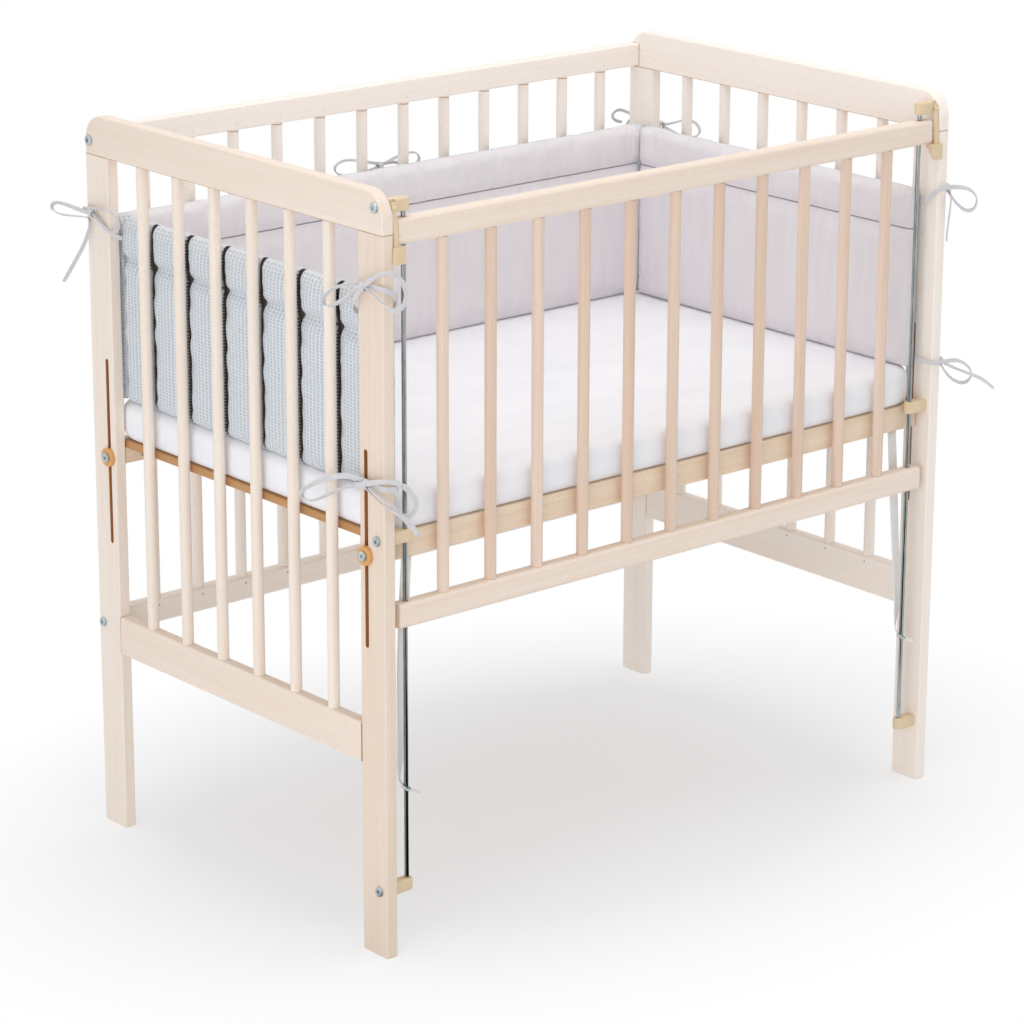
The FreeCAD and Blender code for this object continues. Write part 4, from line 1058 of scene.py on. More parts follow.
# ---------------------------------------------------------------- mattress and sheet
@dataclass
class Bedding:
    """Foam mattress and the fitted sheet round it.

    Attributes:
        low: lowest corner of the sheet's outside.
        high: its highest corner.
        edge: radius of the long edges.
        tuck: how far the sheet turns under.
        cloth: thickness of the sheet.
        rim: width of the border in plan, round which the sheet goes.
        squareness: power of the superellipse that rounds the corners.
        cells: cells of the flat middle, along x and y.
        swell: how far the side swells between two end spindles.
        sunk: how far it sinks behind a spindle.
        wave: height of the shallow waves on top.
        flat: the sheet's flat size, in metres; not used.
        flat_area: its area with the corners taken out, in square metres; not used.
    """

    low: Point = (19.0, 25.5, 540.0)
    high: Point = (941.0, 588.0, 592.0)
    edge: float = 14.0
    tuck: float = 58.0
    cloth: float = 1.0
    rim: float = 62.0
    squareness: float = 4.6
    cells: tuple[int, int] = (72, 96)
    swell: float = 8.5
    sunk: float = 5.4
    wave: float = 0.5
    flat: tuple[float, float] = (1.146, 0.787)
    flat_area: float = 0.852

    def profile(self, inset: float, under: float) -> tuple[np.ndarray, np.ndarray, np.ndarray]:
        """Section of the bed's border from the top, round both edges, to under the mattress.

        Args:
            inset: how far inside the sheet's outside the section lies.
            under: how far it turns under.

        Returns:
            Ring shares, distance out as a share of the rim, and height, all as arrays.
        """
        top, bottom = self.high[2] - inset, self.low[2] + inset
        r = self.edge - inset
        reach = self.rim - inset
        turn = np.linspace(0, math.pi / 2, 7)
        run = [(d, top) for d in np.linspace(0, reach - r, 5)[:-1]]
        run += [(reach - r + r * math.sin(a), top - r + r * math.cos(a)) for a in turn]
        run += [(reach, h) for h in np.linspace(top - r, bottom + r, 5)[1:-1]]
        run += [(reach - r + r * math.cos(a), bottom + r - r * math.sin(a)) for a in turn]
        run += [(d, bottom) for d in np.linspace(reach - r, reach - under, 5)[1:]]
        out, height = np.array(run).T
        return np.linspace(0, 1, len(out)), out / self.rim, height

    def skin(self, name: str, inset: float, under: float) -> bpy.types.Object:
        """Makes a cover over the top and the sides that turns under all round.

        Between two end spindles the side swells out: by the sine of the way between them, to the power 0.42.
        The top lies in very shallow waves, a product of two sines.

        Args:
            name: the piece's name.
            inset: how far inside the sheet's outside it lies.
            under: how far it turns under.

        Returns:
            The open cover, with a UV map in metres of plan.
        """
        shares, out, height = self.profile(inset, under)
        half = ((self.high[0] - self.low[0]) / 2, (self.high[1] - self.low[1]) / 2)
        grid = RimGrid(half, self.rim, self.squareness, self.cells, len(shares) - 1)
        u, v, ring = grid.spread(lambda s: np.interp(s, shares, out))
        z = np.interp(ring, shares, height)
        x = u + (self.low[0] + self.high[0]) / 2
        y = v + (self.low[1] + self.high[1]) / 2
        along = (y - END_SPINDLES[0]) / (END_SPINDLES[1] - END_SPINDLES[0])
        puff = np.abs(np.sin(math.pi * along)) ** 0.42 * self.swell
        ends = smooth((np.abs(u) - half[0] + 20) / 20) * smooth((z - self.low[2]) / 16)
        x = x + np.sign(u) * ends * (puff - self.sunk)
        calm = 1 - smooth(ring * 3)
        z = z - calm * self.wave * (1 + np.sin(x / 83 + 1.3 * np.sin(y / 97)) * np.cos(y / 71 + x / 190))
        points = place(np.stack([x, y, z], -1).reshape(-1, 3))
        rows, columns = grid.shape()
        uv = np.stack([x, y], -1).reshape(-1, 2) / 1000
        return piece_from(name, points, grid_faces(rows, columns, flip=True), uv)

    def build(self) -> None:
        """Makes the mattress and the sheet."""
        core = self.skin("mattress_core", self.cloth + 0.4, self.rim - 2.5)
        weld(core)
        shell = bmesh.new()
        shell.from_mesh(core.data)
        loops = [e for e in shell.edges if e.is_boundary]
        bmesh.ops.holes_fill(shell, edges=loops, sides=0)
        bmesh.ops.recalc_face_normals(shell, faces=shell.faces)
        shell.to_mesh(core.data)
        shell.free()
        core.data.materials.append(FoamCover("knitted_foam_cover").material())
        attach(core, "base")
        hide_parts("mattress")
        sheet = self.skin("bed_sheet", 0.0, self.tuck)
        wall = sheet.modifiers.new("Wall", "SOLIDIFY")
        wall.thickness = self.cloth / 1000
        wall.offset = -1.0
        settle(sheet)
        sheet.data.materials.append(SheetCotton("bleached_cotton").material())
        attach(sheet, "base")
        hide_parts("fitted_sheet")
        for piece in (core, sheet):
            LOG.info("%s: %d faces", piece.name, len(piece.data.polygons))


# ---------------------------------------------------------------- liner
@dataclass
class LinerPanel:
    """One padded panel: waffle cloth outside, muslin inside, a padded roll above a sewn line.

    Attributes:
        side: which side of the crib it stands on.
        span: where it begins and ends along its side.
        spindles: places of the spindles behind it.
        depth: middle of its thickness, measured across the panel.
        cell: sizes of the grid's cells, along the panel and up it.
        half_thick: half of its thickness between the puffs.
        puff: how far the outer face swells between two spindles.
        crease: distance of a crease's bottom from the panel's middle.
        gap: half of a crease's width at its bottom, below the seam and in the roll.
        flare: how much wider a crease gets where it meets the seam.
        wall: reach of the quarter circle that leads out of a crease.
        pinch: reach of the quarter circles that drop to the seam, from below and from the roll.
        seam: how far each face stands out at the seam, outside and inside.
        gather: height of the folds at the upper corners.
        turn_in: width of the outer cloth that shows inside at the rear panel's ends.
        shaded: width of the crease's side that gets painted shade.
        rim: width of the rounded border.
        rings: cells across it.
        pressure: pressure of the filling.
        slack: how much larger the cloth is than its form.
        cap: furthest that the filling moves a point, in metres.
    """

    side: Side
    span: tuple[float, float]
    spindles: np.ndarray
    depth: float
    cell: tuple[float, float] = (3.0, 6.0)
    half_thick: float = 12.6
    puff: float = 4.4
    crease: float = 4.0
    gap: tuple[float, float] = (1.8, 3.2)
    flare: float = 4.5
    wall: float = 3.6
    pinch: tuple[float, float] = (20.0, 14.0)
    seam: tuple[float, float] = (4.0, 5.5)
    gather: float = 1.9
    turn_in: float = 22.0
    shaded: float = 2.6
    rim: float = 13.0
    rings: int = 5
    pressure: float = 2.5
    slack: float = 0.02
    cap: float = 0.0020

    def to_crease(self, along: np.ndarray, height: np.ndarray) -> np.ndarray:
        """Distance from the nearest crease's side: less near the seam, by a falling exponential.

        Args:
            along: places along the panel.
            height: heights above the floor.

        Returns:
            Distance in millimetres, below zero in the crease.
        """
        away = np.abs(along[..., None] - self.spindles).min(axis=-1)
        gap = np.where(height < SEAM_Z, *self.gap)
        return away - gap - self.flare * np.exp(-np.abs(height - SEAM_Z) / 7.0)

    def pad(self, along: np.ndarray, height: np.ndarray) -> tuple[np.ndarray, np.ndarray]:
        """How far each face stands out of the panel's middle, away from its rim.

        Both faces drop to the seam on quarter circles. The outer face also drops into an upright crease
        behind each spindle, on a steeper quarter circle, and swells between two creases as one less the square
        of the way to the middle. The inner face is drawn into folds below the panel's upper corners, a sine
        that dies away.

        Args:
            along: places along the panel.
            height: heights above the floor.

        Returns:
            Outer and inner distance, in millimetres.
        """
        below = height < SEAM_Z
        away = np.abs(height - SEAM_Z)
        pinch = np.where(below, arch(away, self.pinch[0]), arch(away, self.pinch[1]))
        stops = np.sort(np.concatenate([self.spindles, [self.span[0] - 6, self.span[1] + 6]]))
        near = np.searchsorted(stops, along.ravel()).clip(1, len(stops) - 1).reshape(along.shape)
        low, high = stops[near - 1], stops[near]
        middle = np.abs(along - (low + high) / 2) / ((high - low) / 2)
        level = 0.35 + 0.65 * smooth((LINER_Z[1] - height) / 30)
        full = self.half_thick + self.puff * level * (1 - middle ** 2)
        outer = self.crease + (full - self.crease) * arch(self.to_crease(along, height).clip(0), self.wall)
        outer = np.minimum(outer, self.seam[0] + (outer - self.seam[0]) * pinch)
        to_end = np.minimum(along - self.span[0], self.span[1] - along)
        fall = (LINER_Z[1] - height).clip(0)
        gather = self.gather * np.exp(-(to_end / 30) ** 2 - fall / 45) * np.sin(to_end * 0.62 + fall / 14)
        wave = np.sin(along / 47.0 + 2.1 * np.sin(height / 55.0)) * 0.5
        inner = self.seam[1] + (self.half_thick - self.seam[1] + wave + gather) * pinch
        return outer, inner

    def stations(self, half: float) -> np.ndarray | None:
        """Grid lines of a side panel, close together at the creases and wider apart between them.

        Args:
            half: half of the panel's length.

        Returns:
            Places from the panel's middle, or None for the rear panel, whose lines are even.
        """
        if self.side is Side.REAR:
            return None
        core = half - self.rim
        near = np.array([0.0, 1.2, 2.2, 3.0, 3.8, 4.8, 6.2, 8.2, 11.0])
        centre = sum(self.span) / 2
        lines = {-core, core}
        for low, high in zip(self.spindles[:-1], self.spindles[1:]):
            between = np.linspace(low + near[-1], high - near[-1], 12)
            lines.update(np.concatenate([low + near, between, high - near]) - centre)
        ends = ((self.span[0] + self.rim, self.spindles[0], 1.0),
                (self.span[1] - self.rim, self.spindles[-1], -1.0))
        for end, first, way in ends:
            between = np.linspace(end, first - way * near[-1], 12)
            lines.update(np.concatenate([first - way * near, between]) - centre)
        lines = np.array(sorted(lines))
        return lines[np.concatenate([[True], np.diff(lines) > 0.05])]

    def points(self, along: np.ndarray, out: np.ndarray, height: np.ndarray) -> np.ndarray:
        """Turns places on the panel into crib coordinates.

        Args:
            along: places along the panel.
            out: distances from its middle, positive towards the spindles.
            height: heights above the floor.

        Returns:
            Rows of x, y, z in crib millimetres.
        """
        if self.side is Side.REAR:
            return np.stack([along, self.depth + out, height], -1)
        sign = -1.0 if self.side is Side.LEFT else 1.0
        return np.stack([self.depth + sign * out, along, height], -1)

    def shell(self) -> bpy.types.Object:
        """Makes two grids, outside and inside, joined round their rim, in their two cloths.

        Returns:
            The closed pad, whose point attribute fold is 1 deep in a crease, where the waffle cloth gets painted
            shade.
        """
        half = ((self.span[1] - self.span[0]) / 2, (LINER_Z[1] - LINER_Z[0]) / 2)
        cells = tuple(round(2 * (h - self.rim) / size) for h, size in zip(half, self.cell))
        grid = RimGrid(half, self.rim, 2.6, cells, self.rings, self.stations(half[0]))
        u, v, ring = grid.spread(lambda s: np.sin(s * math.pi / 2))
        along = u + sum(self.span) / 2
        height = v + sum(LINER_Z) / 2
        round_off = np.cos(ring * math.pi / 2)
        outer, inner = self.pad(along, height)
        shells = [self.points(along, out * round_off, height) for out in (outer, -inner)]
        rows, columns = grid.shape()
        faces = np.concatenate([grid_faces(rows, columns),
                                grid_faces(rows, columns, start=rows * columns, flip=True)])
        uv = np.tile(np.stack([along, height], -1).reshape(-1, 2) / 1000, (2, 1))
        places = place(np.concatenate(shells).reshape(-1, 3))
        made = piece_from(f"{self.side.value}_liner_panel", places, faces, uv)
        made.data.materials.append(bpy.data.materials["waffle_cotton"])
        made.data.materials.append(bpy.data.materials["mauve_muslin"])
        # The outer cloth is turned in at the rear panel's ends, where the side panels meet it.
        to_end = np.minimum(along - self.span[0], self.span[1] - along).reshape(-1)
        to_end = to_end[faces[: len(faces) // 2, 0]]
        muslin = (to_end > self.turn_in) if self.side is Side.REAR else np.ones(len(to_end))
        cloth = np.concatenate([np.zeros(len(to_end)), muslin]).astype(np.int32)
        made.data.polygons.foreach_set("material_index", cloth)
        weld(made)
        spots = coordinates(made.data) * 1000 + (ORIGIN_X, ORIGIN_Y, 0.0)
        # painted shade: fold is 1 in a crease and fades out over this width
        fold = 1 - smooth(self.to_crease(self.running(spots), spots[:, 2]) / self.shaded)
        fold = np.where(self.outward(spots) > 0, fold, 0.0)
        layer = made.data.attributes.new("fold", "FLOAT", "POINT")
        layer.data.foreach_set("value", fold.astype(np.float32))
        return made

    def running(self, spots: np.ndarray) -> np.ndarray:
        """Place of points along the panel."""
        return spots[:, 0] if self.side is Side.REAR else spots[:, 1]

    def held(self, piece: bpy.types.Object) -> np.ndarray:
        """Finds the vertices that are sewn down while the pad fills: at the seam, the creases and the rim.

        Args:
            piece: the pad.

        Returns:
            1 for each vertex that is held, and else 0.
        """
        spots = coordinates(piece.data) * 1000 + (ORIGIN_X, ORIGIN_Y, 0.0)
        along = self.running(spots)
        creased = (self.outward(spots) > 0) & (self.to_crease(along, spots[:, 2]) < 1.0)
        sewn = np.abs(spots[:, 2] - SEAM_Z) < 4
        to_rim = np.minimum(np.abs(along - self.span[0]), np.abs(along - self.span[1]))
        rim = (spots[:, 2] < LINER_Z[0] + 3) | (to_rim < 3)
        return (sewn | rim | creased).astype(float)

    def outward(self, spots: np.ndarray) -> np.ndarray:
        """Distance of points from the panel's middle.

        Args:
            spots: rows of x, y, z in crib millimetres.

        Returns:
            The distances, positive towards the spindles.
        """
        if self.side is Side.REAR:
            return spots[:, 1] - self.depth
        return (self.depth - spots[:, 0]) * (1.0 if self.side is Side.LEFT else -1.0)

    def build(self) -> bpy.types.Object:
        """Makes the panel, fills it and bakes its transform into its mesh.

        Returns:
            The finished panel.
        """
        piece = self.shell()
        fill_pad(piece, self.held(piece), self.pressure, self.slack, self.cap)
        subdivide(piece)
        stretch(piece)
        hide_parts(f"{self.side.value}_liner")
        LOG.info("%s: %d faces", piece.name, len(piece.data.polygons))
        return piece


def stretch(piece: bpy.types.Object) -> None:
    """Bakes a piece's transform into its mesh."""
    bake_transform(piece)


def fill_pad(piece: bpy.types.Object, held: np.ndarray, pressure: float, slack: float, cap: float) -> None:
    """Lets a pad swell as cloth round its filling.

    Args:
        piece: the pad.
        held: share by which each vertex is held.
        pressure: pressure of the filling.
        slack: how much larger the cloth is than its form, so that it puckers.
        cap: furthest move of a vertex, in metres.
    """
    start = coordinates(piece.data)
    group = piece.vertex_groups.new(name="held")
    group.add(np.flatnonzero(held > 0.5).tolist(), 1.0, "REPLACE")
    cloth = piece.modifiers.new("Cloth", "CLOTH")
    settings = {"quality": 4, "mass": 0.25, "tension_stiffness": 12, "compression_stiffness": 12,
                "bending_stiffness": 0.4, "use_pressure": True, "uniform_pressure_force": pressure,
                "shrink_min": -slack, "vertex_group_mass": "held"}
    for key, value in settings.items():
        setattr(cloth.settings, key, value)
    cloth.settings.effector_weights.gravity = 0
    cloth.point_cache.frame_start = 1
    cloth.point_cache.frame_end = FILL_FRAMES
    scene = bpy.context.scene
    for number in range(1, FILL_FRAMES + 1):
        scene.frame_set(number)
    graph = bpy.context.evaluated_depsgraph_get()
    found = coordinates(piece.evaluated_get(graph).data)
    piece.modifiers.clear()
    scene.frame_set(1)
    moved = found - start
    reach = np.linalg.norm(moved, axis=1, keepdims=True)
    moved = moved * np.minimum(1, cap / np.maximum(reach, FEW))
    piece.data.vertices.foreach_set("co", (start + moved).ravel())
    piece.data.update()


@dataclass
class Liner:
    """The three padded panels.

    Attributes:
        panels: the panels, from left to right.
    """

    panels: tuple[LinerPanel, ...] = (
        LinerPanel(Side.LEFT, (25.0, 563.6), END_SPINDLES, 32.1),
        LinerPanel(Side.REAR, (18.6, 941.4), REAR_SPINDLES, 577.4, (3.6, 6.0)),
        LinerPanel(Side.RIGHT, (25.0, 563.6), END_SPINDLES, 927.9),
    )

    def build(self) -> None:
        """Makes the cloths and the panels."""
        Waffle("waffle_cotton").material()
        Muslin("mauve_muslin").material()
        for panel in self.panels:
            panel.build()


# ---------------------------------------------------------------- tapes
Route = Sequence[Point]


@dataclass
class Bow:
    """Two tapes tied in a bow round a post or spindle.

    Attributes:
        name: name of the CAD node it replaces, without its prefix.
        first: route of the first tape.
        second: route of the second tape.
        lengths: length of each tape, in metres; not used.
        knot: middle of the knot.
        along: direction in which the loops leave the knot.
        out: direction out of the bow's plane, which the tape's width leans towards in the loops.
        low: whether it ties the liner's lower edge, which moves with the base.
        width: width of the tape, in metres.
        thick: its thickness, in metres.
        fold: share of the thickness that its lengthwise fold takes.
        wrap: share of the tape that lies round the post, before the loops.
        cup: how far its middle bows, in metres.
        ends: share of the width that is left at its ends.
        knot_radii: half of the knot's sizes, in metres.
        knot_band: width and thickness of the band that makes the knot, in metres.
    """

    name: str
    first: Route
    second: Route
    lengths: tuple[float, float]
    knot: Point
    along: Point
    out: Point
    low: bool = False
    width: float = 0.0052
    thick: float = 0.0019
    fold: float = 0.6
    wrap: float = 0.30
    cup: float = 0.0003
    ends: float = 0.8
    knot_radii: tuple[float, float] = (0.0050, 0.0042)
    knot_band: tuple[float, float] = (0.0054, 0.0016)

    def hints(self) -> list[tuple[float, Point]]:
        """Width directions: upright round the post, then leaning out and back in the loops.

        Returns:
            Shares of the length, each with its direction.
        """
        up = np.array((0.0, 0.0, 1.0))
        out = np.array(self.out)
        leans = [(0.0, up), (self.wrap, up), (self.wrap + 0.12, up * 0.6 + out * 0.7),
                 (0.62, up * 0.25 + out), (0.8, up * 0.7 + out * 0.8), (1.0, up * 0.4 + out)]
        return [(share, tuple(way)) for share, way in leans]

    def tape(self, label: str, route: Route) -> bpy.types.Object:
        """Args:
            label: a for the first tape, which holds the knot, or b for the second.
            route: its route in crib millimetres.

        Returns:
            The tape.
        """
        metres = place(np.array(route))
        line = route_line(f"{self.name}_{label}", metres.tolist())
        piece = band_along(f"tape_{self.name}_{label}", line, self.hints(), self.width, self.thick, self.cup,
                           self.ends, self.fold)
        piece.data.materials.append(bpy.data.materials["cotton_tape"])
        self.hold(piece)
        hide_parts(f"tie_{self.name}")
        pieces = [self.knot_piece()] if label == "a" else []
        return piece

    def hold(self, piece: bpy.types.Object) -> None:
        """Ties a piece to the frame, or only bakes its transform for a bow at the liner's lower edge.

        Args:
            piece: the tape or the knot.
        """
        if self.low:
            stretch(piece)
        else:
            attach(piece, "frame")

    def knot_piece(self) -> bpy.types.Object:
        """Makes the knot, a tape wrapped round the crossing.

        Returns:
            The knot.
        """
        piece = wrap_ring(f"knot_{self.name}", place(np.array(self.knot)), np.array(self.along),
                          np.array((0.0, 0.0, 1.0)), self.knot_radii, *self.knot_band)
        piece.data.materials.append(bpy.data.materials["cotton_tape"])
        self.hold(piece)
        return piece

    def build(self) -> None:
        """Makes both tapes and the knot."""
        self.tape("a", self.first)
        self.tape("b", self.second)
        LOG.info("bow %s", self.name)


LEFT_OUT = (-1.0, 0.0, 0.0)
RIGHT_OUT = (0.65, 0.76, 0.0)
REAR_OUT = (0.0, 1.0, 0.0)
BOWS = (
    Bow("front_left_top",
        [(24, 23.9, 812), (23, 10, 828), (21, -5, 841), (7, -6, 851), (-6, -5, 856), (-8, 12, 857), (-8, 30, 857),
         (-12, 50, 854), (-18, 73, 845), (-20, 91, 830), (-16, 88, 818), (-11, 66, 829), (-8, 45, 845),
         (-9, 30, 853), (-11, 22, 856)],
        [(17.7, 56, 812), (6, 56, 815), (-7, 50, 826), (-13, 36, 842), (-14, 20, 857), (-15, 4, 868),
         (-12, -10, 877), (0, -17, 878), (15, -17, 867), (24, -16, 850), (20, -16, 835), (6, -16, 829),
         (-5, -14, 836), (-12, -5, 846), (-14, 10, 853), (-12, 20, 857)],
        (0.2571, 0.2416), (-11.5, 22.5, 856), (0, 1, 0), LEFT_OUT, width=0.0068),
    Bow("front_left_low",
        [(24, 24.7, 604), (23, 9, 605), (21, -5, 607), (6, -6, 609), (-6, -5, 611), (-8, 12, 613), (-8, 31, 616),
         (-12, 54, 617), (-16, 84, 609), (-18, 114, 594), (-18, 138, 580), (-14, 145, 569), (-11, 129, 566),
         (-10, 103, 579), (-8, 74, 595), (-8, 48, 605), (-9, 26, 609), (-12, 6, 602), (-8, -16, 591),
         (8, -24, 580), (24, -23, 564), (36, -21, 549)],
        [(19.6, 53, 602), (6, 54, 604), (-7, 49, 606), (-13, 36, 609), (-14, 20, 614), (-15, 4, 620),
         (-9, -12, 624), (5, -17, 621), (21, -17, 611), (34, -16, 597), (38, -15, 583), (29, -14, 573),
         (15, -13, 576), (4, -13, 588), (-6, -12, 598), (-13, 0, 605), (-13, 12, 611)],
        (0.4496, 0.2415), (-11.5, 19, 613.5), (0, 1, 0), LEFT_OUT, low=True, width=0.0072),
    Bow("rear_left",
        [(24, 591.8, 812), (24, 604, 817), (20, 616, 827), (6, 618, 838), (-6, 612, 845), (-8, 597, 848),
         (-10, 580, 851), (-13, 560, 855), (-13, 540, 855), (-10, 526, 847), (-9, 527, 833), (-9, 541, 825),
         (-9, 557, 830), (-10, 573, 839), (-9, 584, 844)],
        [(17.7, 554, 812), (7, 554, 815), (-2.9, 562, 824), (-4, 578, 836), (-7, 592, 843), (-11, 608, 844),
         (-18, 627, 849), (-27, 644, 852), (-31, 648, 843), (-25, 637, 836), (-16, 618, 836), (-10, 600, 837),
         (-9, 592, 837), (-10, 588, 829), (-12, 590, 818), (-15, 600, 797), (-20, 616, 772), (-25, 631, 748)],
        (0.2226, 0.2877), (-8.5, 587, 844), (0, 1, 0), LEFT_OUT, width=0.0058),
    Bow("rear_middle",
        [(503, 591.8, 810), (501, 603, 813), (506, 613, 820), (519, 615, 825), (536, 615, 826), (551, 617, 825),
         (562, 620, 831), (557, 621, 841), (542, 620, 843), (527, 619, 841), (508, 619, 837), (490, 618, 831)],
        [(530, 592.2, 810), (532, 604, 815), (527, 613, 829), (511, 615, 835), (492, 615, 834), (470, 618, 839),
         (447, 621, 845), (428, 622, 847), (412, 621, 841), (414, 620, 830), (432, 619, 825), (452, 618, 825),
         (474, 618, 828), (486, 618, 831)],
        (0.1588, 0.2275), (488, 617, 831), (1, 0, 0), REAR_OUT, width=0.0044),
    Bow("rear_right",
        [(936, 591.8, 812), (936, 604, 817), (940, 616, 827), (954, 618, 837), (966, 612, 841), (968.5, 597, 838),
         (969, 581, 835), (970, 563, 834), (973, 540, 842), (974, 518, 849), (973, 499, 846), (970, 488, 837),
         (969, 495, 828), (968.5, 511, 824), (968.5, 530, 824), (969, 548, 828), (968, 563, 832)],
        [(942.3, 554, 812), (953, 554, 815), (962.9, 562, 821), (962.9, 578, 826), (965, 596, 829),
         (970, 611, 831), (968, 624, 837), (954, 629, 846), (938, 629, 851), (925, 628, 845), (930, 627, 835),
         (944, 627, 832)],
        (0.2656, 0.1572), (968, 568, 833), (0, 1, 0), (1.0, 0.0, 0.0), width=0.0044),
    Bow("front_right_top",
        [(936, 23.9, 818), (938, 14, 826), (939.5, 3, 834), (941, -4, 840), (950, -7, 843), (961, -8, 842),
         (977, -11, 840), (993, -12, 835), (1006, -13, 823), (1004, -13, 809), (990, -12, 805), (974, -11, 814),
         (962, -6, 829), (964, 3, 836)],
        [(942.5, 58, 812), (953, 58, 817), (963, 54, 832), (968, 39, 845), (969, 19, 843), (966, 1, 838),
         (962, -7, 828), (963, -4, 806), (964, 0, 784), (965, 2, 766)],
        (0.1796, 0.1617), (965, 6, 838), (1, -0.3, 0), RIGHT_OUT, width=0.0060),
    Bow("front_right_low",
        [(936, 24.7, 604), (938, 10, 603), (940, -3, 602), (950, -7, 602), (962, -9, 603), (980, -12, 602),
         (996, -13, 594), (1008, -14, 582), (1005, -14, 570), (991, -13, 567), (975, -11, 574), (963, -6, 587),
         (964, 2, 595)],
        [(940.4, 53, 602), (953, 54, 603), (966, 49, 604), (970, 34, 604), (970, 18, 601), (975, 4, 594),
         (985, -9, 587), (996, -21, 582), (1004, -33, 577), (1009, -44, 571), (1011, -52, 565)],
        (0.1721, 0.1467), (965, 6, 599), (1, -0.3, 0), RIGHT_OUT, low=True, width=0.0056),
)


# ---------------------------------------------------------------- straps
@dataclass
class Strap:
    """Webbing strap that hangs from the base's front rail to an eyelet on the guide rod.

    Attributes:
        side: left or right.
        rod_x: place of the guide rod.
        top_x: place of the strap's upper end.
        length: its length, in metres; not used.
        rod_y: place of the guide rod from front to back.
        eye_z: height of the eyelet.
        way_back: distance from front to back that the stations share out.
        way_up: height that they share out.
        way_across: distance across that they share out past the rod.
        stations: shares across, back and up from the eyelet, and the width's turn in degrees.
        twist: turn of the width at the eyelet, in degrees.
        tilt: slope of the strap there, in degrees.
        reach: flat length each side of the eyelet.
        tab: length of the end past it.
        drop: how far that end hangs down.
        hole: radius of the hole, in metres.
        profile: the eyelet's section, as radii and heights.
        width: the strap's width, in metres.
        thick: its thickness, in metres.
    """

    side: Side
    rod_x: float
    top_x: float
    length: float
    rod_y: float = 14.0
    eye_z: float = 214.0
    way_back: float = 19.0
    way_up: float = 293.9
    way_across: float = 17.5
    stations: tuple[tuple[float, float, float, float], ...] = (
        (1.0, 1.0, 1.0, 0), (0.62, 0.92, 0.74, 0), (0.26, 0.74, 0.446, 4), (0.04, 0.47, 0.184, 12),
        (-0.17, 0.42, 0.109, 20), (-0.31, 0.37, 0.054, 38))
    twist: float = 52.0
    tilt: float = 35.0
    reach: float = 9.0
    tab: float = 10.0
    drop: float = 1.6
    hole: float = 0.0056
    profile: tuple[tuple[float, float], ...] = (
        (5.1, -1.5), (5.6, -1.8), (6.4, -1.75), (7.0, -1.4), (6.9, -1.0), (5.7, -0.9), (5.7, 0.9), (6.9, 1.0),
        (7.0, 1.4), (6.4, 1.75), (5.6, 1.8), (5.1, 1.5), (5.0, 0.0))
    width: float = 0.016
    thick: float = 0.0014

    def eye(self) -> tuple[np.ndarray, np.ndarray, np.ndarray, np.ndarray]:
        """Finds the eyelet.

        Returns:
            Its middle, the strap's level direction there, its travel and its normal.
        """
        turn, tilt = math.radians(self.twist), math.radians(self.tilt)
        level = np.array((math.sin(turn), -math.cos(turn), 0.0))
        travel = level * math.cos(tilt) - np.array((0, 0, math.sin(tilt)))
        normal = unit(np.cross(np.cross(level, travel), travel))
        return np.array((self.rod_x, self.rod_y, self.eye_z)), level, travel, normal

    def route(self) -> tuple[list[list[float]], list[float]]:
        """Works out the strap's route.

        Returns:
            Control points in crib millimetres, and the twist of the width at each, in degrees.
        """
        eye, level, travel, _ = self.eye()
        points, twists = [], []
        for across, back, up, twist in self.stations:
            way = self.top_x - self.rod_x if across > 0 else self.way_across
            points.append([self.rod_x + across * way, self.rod_y + back * self.way_back,
                           self.eye_z + up * self.way_up])
            twists.append(twist)
        near, far = eye - travel * self.reach, eye + travel * self.reach
        tab = far + level * self.tab - np.array((0, 0, self.drop))
        points += [near.tolist(), far.tolist(), tab.tolist()]
        return points, twists + [self.twist] * 3

    def eyelet(self) -> bpy.types.Object:
        """Makes the pressed eyelet: a flanged tube, spun round its bore from one closed profile.

        Returns:
            The eyelet.
        """
        eye, _, travel, normal = self.eye()
        side = np.cross(normal, travel)
        turn = np.linspace(0, 2 * math.pi, 40, endpoint=False)
        spokes = np.cos(turn)[:, None] * travel + np.sin(turn)[:, None] * side
        points = np.stack([eye + spokes * r + normal * h for r, h in self.profile], 1)
        rows, columns = len(turn), len(self.profile)
        faces = grid_faces(rows + 1, columns, wrap=True) % (rows * columns)
        piece = piece_from(f"{self.side.value}_strap_eyelet", place(points.reshape(-1, 3)), faces)
        weld(piece)
        piece.data.materials.append(bpy.data.materials["bright_zinc"])
        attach(piece, "base")
        return piece

    def build(self) -> None:
        points, twists = self.route()
        metres = place(np.array(points))
        line = route_line(f"{self.side.value}_strap", metres.tolist())
        runs = np.linalg.norm(np.diff(metres, axis=0), axis=1)
        shares = np.concatenate([[0], np.cumsum(runs)]) / runs.sum()
        turns = np.radians(twists)
        hints = [(s, (c, d, 0.0)) for s, c, d in zip(shares, np.cos(turns), np.sin(turns))]
        piece = band_along(f"{self.side.value}_strap_band", line, hints, self.width, self.thick, 0.0)
        self.pierce(piece)
        piece.data.materials.append(bpy.data.materials["white_webbing"])
        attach(piece, "base")
        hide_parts(f"{self.side.value}_strap")
        self.eyelet()
        LOG.info("%s: %d faces", piece.name, len(piece.data.polygons))

